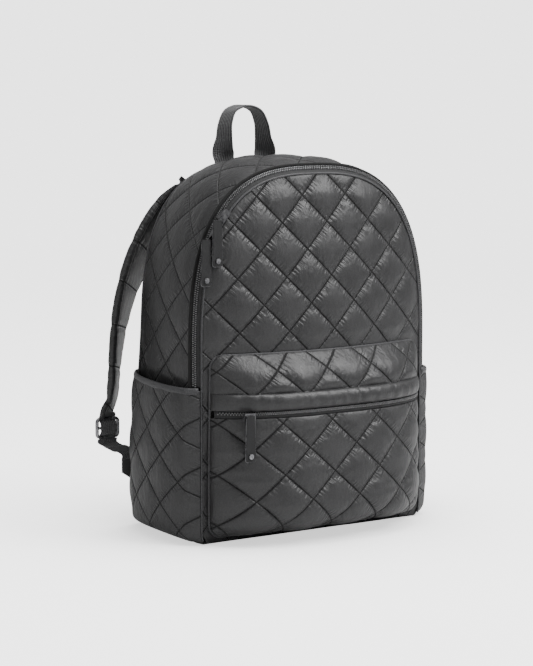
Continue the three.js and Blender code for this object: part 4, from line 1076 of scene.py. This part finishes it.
def flat_section(edge=0.06, steps=14):
    x = np.linspace(-1 + edge, 1 - edge, steps)
    top = np.column_stack([x, np.ones(steps)])
    low = np.column_stack([x[::-1], -np.ones(steps)])
    return np.vstack([[-1, 0.3], top, [1, 0.3], [1, -0.3], low, [-1, -0.3]])


def padded_section():
    x = np.linspace(-0.9, 0.9, 25)
    crown = 1 - 0.22 * np.abs(x) ** 3
    groove = 1 - 0.28 * np.exp(-((np.abs(x) - 0.86) / 0.035) ** 2)
    top = np.column_stack([x, crown * groove])
    return np.vstack([[-1, 0.22], [-0.95, 0.5], top, [0.95, 0.5], [1, 0.22], [1, -0.22], [0.95, -0.5],
                      top[::-1] * [1, -1], [-0.95, -0.5], [-1, -0.22]])


def turned(along, degrees):
    a = np.radians(degrees)
    across = np.stack([np.cos(a), np.sin(a), np.zeros_like(a)], -1)
    across = unit(across - along * np.sum(across * along, -1, keepdims=True))
    return across, unit(np.cross(along, across))


def strap_place(across, behind, up):
    return np.array([-across * HALF_WIDTH, REAR_Y + behind * STRAP_STANDOFF, up * BODY_HEIGHT])


BUCKLE = strap_place(1.096, 0.72, 0.27)
BUCKLE_WIDE, BUCKLE_TALL, BUCKLE_RIM, BUCKLE_THICKNESS = 31, 25, 4, 5
BUCKLE_REACH = BUCKLE_TALL / 2 + GAP


def build_straps():
    route = [strap_place(*row[:3]) for row in STRAP_TABLE]
    route.append(BUCKLE + [0, 0, BUCKLE_REACH + 6])
    route.append(BUCKLE + [0, 0, BUCKLE_REACH])
    end = WEBBING_WIDTH / STRAP_WIDTH
    turns = np.array([row[3] for row in STRAP_TABLE] + [30, 15], float)
    widths = np.array([row[4] for row in STRAP_TABLE] + [end, end])
    shares = np.linspace(0, 1, 240)
    at = shares * (len(route) - 1)
    centre = spline(route, shares)
    along = unit(np.gradient(centre, axis=0))
    width = STRAP_WIDTH * np.interp(at, np.arange(len(widths)), widths)
    across, face = turned(along, np.interp(at, np.arange(len(turns)), turns))
    thick = np.minimum(STRAP_THICKNESS, width * 0.25)
    run = run_lengths(centre)
    gathers = 1 - 0.16 * (0.5 + 0.5 * np.cos(2 * math.pi * run / STRAP_SEAM_PITCH)) ** 8 * (width > 40)
    gathers += 0.05 * noise(run / 5, 0.3, 31)
    root = 0.45 + 0.55 * smoothstep(0, STRAP_ROOT, run)
    centre = centre - np.column_stack([0 * root, STRAP_THICKNESS * (1 - root) / 2, 0 * root])
    gathers = gathers * root
    piece = strap_piece("shoulder_strap_cloth_left", centre, across * width[:, None] / 2,
                        face * (thick * gathers)[:, None] / 2, padded_section(), "quilted_nylon",
                        0.86, 1 / STRAP_SEAM_PITCH)
    both_sides(piece, "shoulder_strap_left", fill=0.7)


def build_strap_webbing():
    low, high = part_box("strap_anchor_left")
    middle = (Vector(low) + Vector(high)) / 2 / MM
    top = np.array([-0.95 * HALF_WIDTH, middle.y, high[2] / MM])
    foot = BUCKLE - [0, 0, BUCKLE_REACH]
    route = [foot, foot - [0, 0, 4], top + [0, 0, 4 + GAP], top + [0, 0, GAP]]
    shares = np.linspace(0, 1, 60)
    centre = spline(route, shares)
    along = np.broadcast_to([0, 0, -1.0], centre.shape)
    side = np.broadcast_to([1.0, 0, 0], centre.shape)
    face = np.broadcast_to([0, 1.0, 0], centre.shape)
    piece = strap_piece("webbing_left", centre, side * WEBBING_WIDTH / 2, face * WEBBING_THICKNESS / 2,
                        flat_section(), "webbing")
    both_sides(piece, "strap_webbing_left")


def rounded_loop(wide, tall, corner, steps=6):
    a = np.linspace(0, math.pi / 2, steps)
    points = []
    for cx, cz, start in ((1, 1, 0), (-1, 1, 1), (-1, -1, 2), (1, -1, 3)):
        t = a + start * math.pi / 2
        points.append(np.column_stack([cx * (wide / 2 - corner) + corner * np.cos(t),
                                       cz * (tall / 2 - corner) + corner * np.sin(t)]))
    return np.vstack(points)


def build_buckles():
    loop = rounded_loop(BUCKLE_WIDE - BUCKLE_RIM, BUCKLE_TALL - BUCKLE_RIM, 4)
    path = np.column_stack([loop[:, 0], np.zeros(len(loop)), loop[:, 1]]) + BUCKLE
    ring = tube_piece("buckle_ring", path, 2.0, "buckle_metal", sides=12, closed=True, squash=1.2,
                      face=np.array([0, 1.0, 0]))
    x = np.linspace(-BUCKLE_WIDE / 2 + 3, BUCKLE_WIDE / 2 - 3, 12)
    path = np.column_stack([x, 0 * x, 0 * x]) + BUCKLE
    bar = tube_piece("buckle_bar", path, 1.7, "buckle_metal", sides=10)
    piece = join_pieces("buckle_left", [ring, bar])
    both_sides(piece, "strap_buckle_left")
    route = [(0.6, 13.5), (0.9, 9), (-2.6, 5), (-3.4, 0), (-2.6, -5), (0.6, -9), (0.6, -13.5)]
    centre = spline([BUCKLE + [0, y, z] for y, z in route], np.linspace(0, 1, 50))
    along = unit(np.gradient(centre, axis=0))
    side = np.broadcast_to([1.0, 0, 0], centre.shape)
    fold = strap_piece("buckle_webbing_left", centre, side * 10.4, unit(np.cross(along, side)),
                       flat_section(), "webbing")
    both_sides(fold)


# A fine wire bent round the edge of each pull
def build_pull_wires():
    for name in ("main_pull_upper", "main_pull_lower", "pocket_pull"):
        low, high = (np.array(c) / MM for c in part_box(name))
        middle = (low + high) / 2
        wide, tall = high[0] - low[0], high[2] - low[2]
        loop = rounded_loop(wide + 0.5, tall - 1.2, 3)
        narrow = 1 - 0.16 * (loop[:, 1] + tall / 2) / tall
        path = middle + np.column_stack([loop[:, 0] * narrow, np.full(len(loop), -0.3), loop[:, 1] - 0.8])
        wire = tube_piece(name + "_wire", path, WIRE_RADIUS, "dark_metal", closed=True,
                          face=np.array([0, 1.0, 0]))
        settle(wire, body=name)


def soften(obj, width):
    bevel = obj.modifiers.new("bevel", "BEVEL")
    bevel.width = width * MM
    bevel.segments = 3
    bevel.limit_method = "ANGLE"
    bevel.harden_normals = True


def build_handle():
    y = REAR_Y - 2.6
    s = OUTLINE_LENGTH / 2
    while abs(body_point(s, y)[0]) < HANDLE_HALF - WEBBING_WIDTH / 2:
        s -= 0.5
    foot = body_point(s, y)[2] + PUFF * 2.6 * 2.2 / EDGE_FADE + GAP
    half = HANDLE_HALF
    rows = [(-half, 0, 90), (-half - 1, 0.1, 78), (-half - 2, 0.22, 42), (-half, 0.42, 16),
            (-half + 2, 0.68, 6), (-half * 0.68, 0.9, 0), (-half * 0.32, 0.98, 0), (0, 1, 0)]
    left = [(x + HANDLE_SHIFT * share, foot + HANDLE_RISE * share, turn) for x, share, turn in rows]
    right = [(HANDLE_SHIFT * share - x, foot + HANDLE_RISE * share, -turn) for x, share, turn in rows[:-1]]
    whole = left + right[::-1]
    route = [(x, y, z) for x, z, turn in whole]
    shares = np.linspace(0, 1, 150)
    centre = spline(route, shares)
    along = unit(np.gradient(centre, axis=0))
    angle = np.radians(np.interp(shares * (len(whole) - 1), np.arange(len(whole)), [t for x, z, t in whole]))
    axis = np.broadcast_to([0, 1.0, 0], along.shape)
    c, sn = np.cos(angle)[:, None], np.sin(angle)[:, None]
    across = axis * c + np.cross(along, axis) * sn + along * np.sum(along * axis, 1, keepdims=True) * (1 - c)
    face = unit(np.cross(along, across))
    across = unit(np.cross(face, along))
    piece = strap_piece("handle_webbing", centre, across * WEBBING_WIDTH / 2, face * HANDLE_THICKNESS / 2,
                        flat_section(), "webbing")
    settle(piece, "haul_handle")


# Small parts that keep their CAD shape: a word in their names, their material and their bevel
SMALL_PARTS = (
    ("rivet", "buckle_metal", 0.5),
    ("slider", "dark_metal", 0.7),
    ("pull", "rubber_pull", 0.5),
    ("keeper", "webbing", 0.4),
    ("anchor", "webbing", 0.4),
)


def dress_small_parts():
    for name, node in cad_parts.items():
        for word, material, width in SMALL_PARTS:
            if word in name:
                node.data.materials.clear()
                node.data.materials.append(MATERIALS[material])
                soften(node, width)
                break


build_front_panel()
build_back_panel()
build_gusset()
build_base()
build_pocket_hood()
build_pocket_face()
build_side_pockets()
build_piping()
build_pocket_piping()
build_main_zipper()
build_pocket_zipper()
build_straps()
build_strap_webbing()
build_buckles()
build_pull_wires()
build_handle()
dress_small_parts()


# Studio: glow of the paper, the part of it left in the contact shadow painted into that glow and the reach
# of that painted shadow in metres, strength of the sky, and each light's place, aim, size and power
PAPER_GLOW = 2.5
PAINTED_SHADOW_SHARE = 0.45
PAINTED_SHADOW_REACH = 0.3
SKY_STRENGTH = 0.5
LIGHTS = {
    "key": ((0.95, -1.15, 1.65), (0, 0, 0.32), 1.0, 40),
    "top": ((0.4, -0.3, 2.4), (0, 0, 0.2), 1.4, 40),
    "fill": ((-2.2, -1.2, 1.0), (0, 0, 0.2), 1.4, 5),
}


def build_studio():
    bend = np.linspace(0, math.pi / 2, 13)[1:]
    depth = np.concatenate([np.linspace(-6, 3, 10), 3 + 2 * np.sin(bend), [5, 5]])
    height = np.concatenate([np.zeros(10), 2 - 2 * np.cos(bend), [5, 9]])
    a = math.radians(CAMERA_AZIMUTH)
    back = np.array([-math.sin(a), math.cos(a)])
    right = np.array([math.cos(a), math.sin(a)])
    points = []
    for d, h in zip(depth, height):
        for w in (-9, 9):
            points.append((*(back * d + right * w), h - 0.0002))
    faces = [(2 * k, 2 * k + 1, 2 * k + 3, 2 * k + 2) for k in range(len(depth) - 1)]
    mesh = bpy.data.meshes.new("studio_floor")
    mesh.from_pydata(points, [], faces)
    mesh.polygons.foreach_set("use_smooth", [True] * len(faces))
    floor = bpy.data.objects.new("studio_floor", mesh)
    bpy.context.scene.collection.objects.link(floor)
    n = Nodes("studio_paper")
    grain = n.noise(3, 2, 0.5)
    paper = n.finish(n.blend(grain, (0.8, 0.8, 0.8), (0.81, 0.81, 0.81)), 0.9, specular_ior_level=0.1,
                     emission_color=(1, 1, 1, 1))
    seen = n.add("ShaderNodeLightPath").outputs["Is Camera Ray"]
    # Painted contact shadow: the paper's glow is dimmed where ambient occlusion finds the bag close by, on
    # top of the real shadow in the paper's lit part
    painted_shade = n.add("ShaderNodeAmbientOcclusion", samples=12)
    painted_shade.inputs["Distance"].default_value = PAINTED_SHADOW_REACH
    near = n.span(painted_shade.outputs["AO"], 0.4, 1.0, PAINTED_SHADOW_SHARE * PAPER_GLOW, PAPER_GLOW)
    n.wire(n.math("MULTIPLY", seen, near), n.shader.inputs["Emission Strength"])
    floor.data.materials.append(paper)
    world = bpy.data.worlds.new("studio_world")
    bpy.context.scene.world = world
    world.use_nodes = True
    world.node_tree.nodes["Background"].inputs["Color"].default_value = (1, 1, 1, 1)
    world.node_tree.nodes["Background"].inputs["Strength"].default_value = SKY_STRENGTH
    for name, values in LIGHTS.items():
        add_light(name, *values)


def add_light(name, place, aim, size, power):
    data = bpy.data.lights.new(name, "AREA")
    data.size = size
    data.energy = power
    light = bpy.data.objects.new(name, data)
    bpy.context.scene.collection.objects.link(light)
    turn = (Vector(aim) - Vector(place)).to_track_quat("-Z", "Y")
    light.matrix_world = Matrix.Translation(place) @ turn.to_matrix().to_4x4()


def add_camera():
    a, e = math.radians(CAMERA_AZIMUTH), math.radians(CAMERA_PITCH)
    forward = Vector((-math.sin(a) * math.cos(e), math.cos(a) * math.cos(e), -math.sin(e)))
    right = Vector((math.cos(a), math.sin(a), 0))
    up = right.cross(forward)
    target = Vector((0, 0, CAMERA_AIM_Z)) - right * CAMERA_SHIFT
    data = bpy.data.cameras.new("photo_camera")
    camera = bpy.data.objects.new("photo_camera", data)
    bpy.context.scene.collection.objects.link(camera)
    data.lens = CAMERA_LENS
    data.sensor_width = 36
    data.clip_start = 0.05
    data.clip_end = 50
    pose = Matrix((right, up, -forward)).transposed().to_4x4()
    pose.translation = target - forward * CAMERA_DISTANCE
    camera.matrix_world = pose
    bpy.context.scene.camera = camera


build_studio()
add_camera()
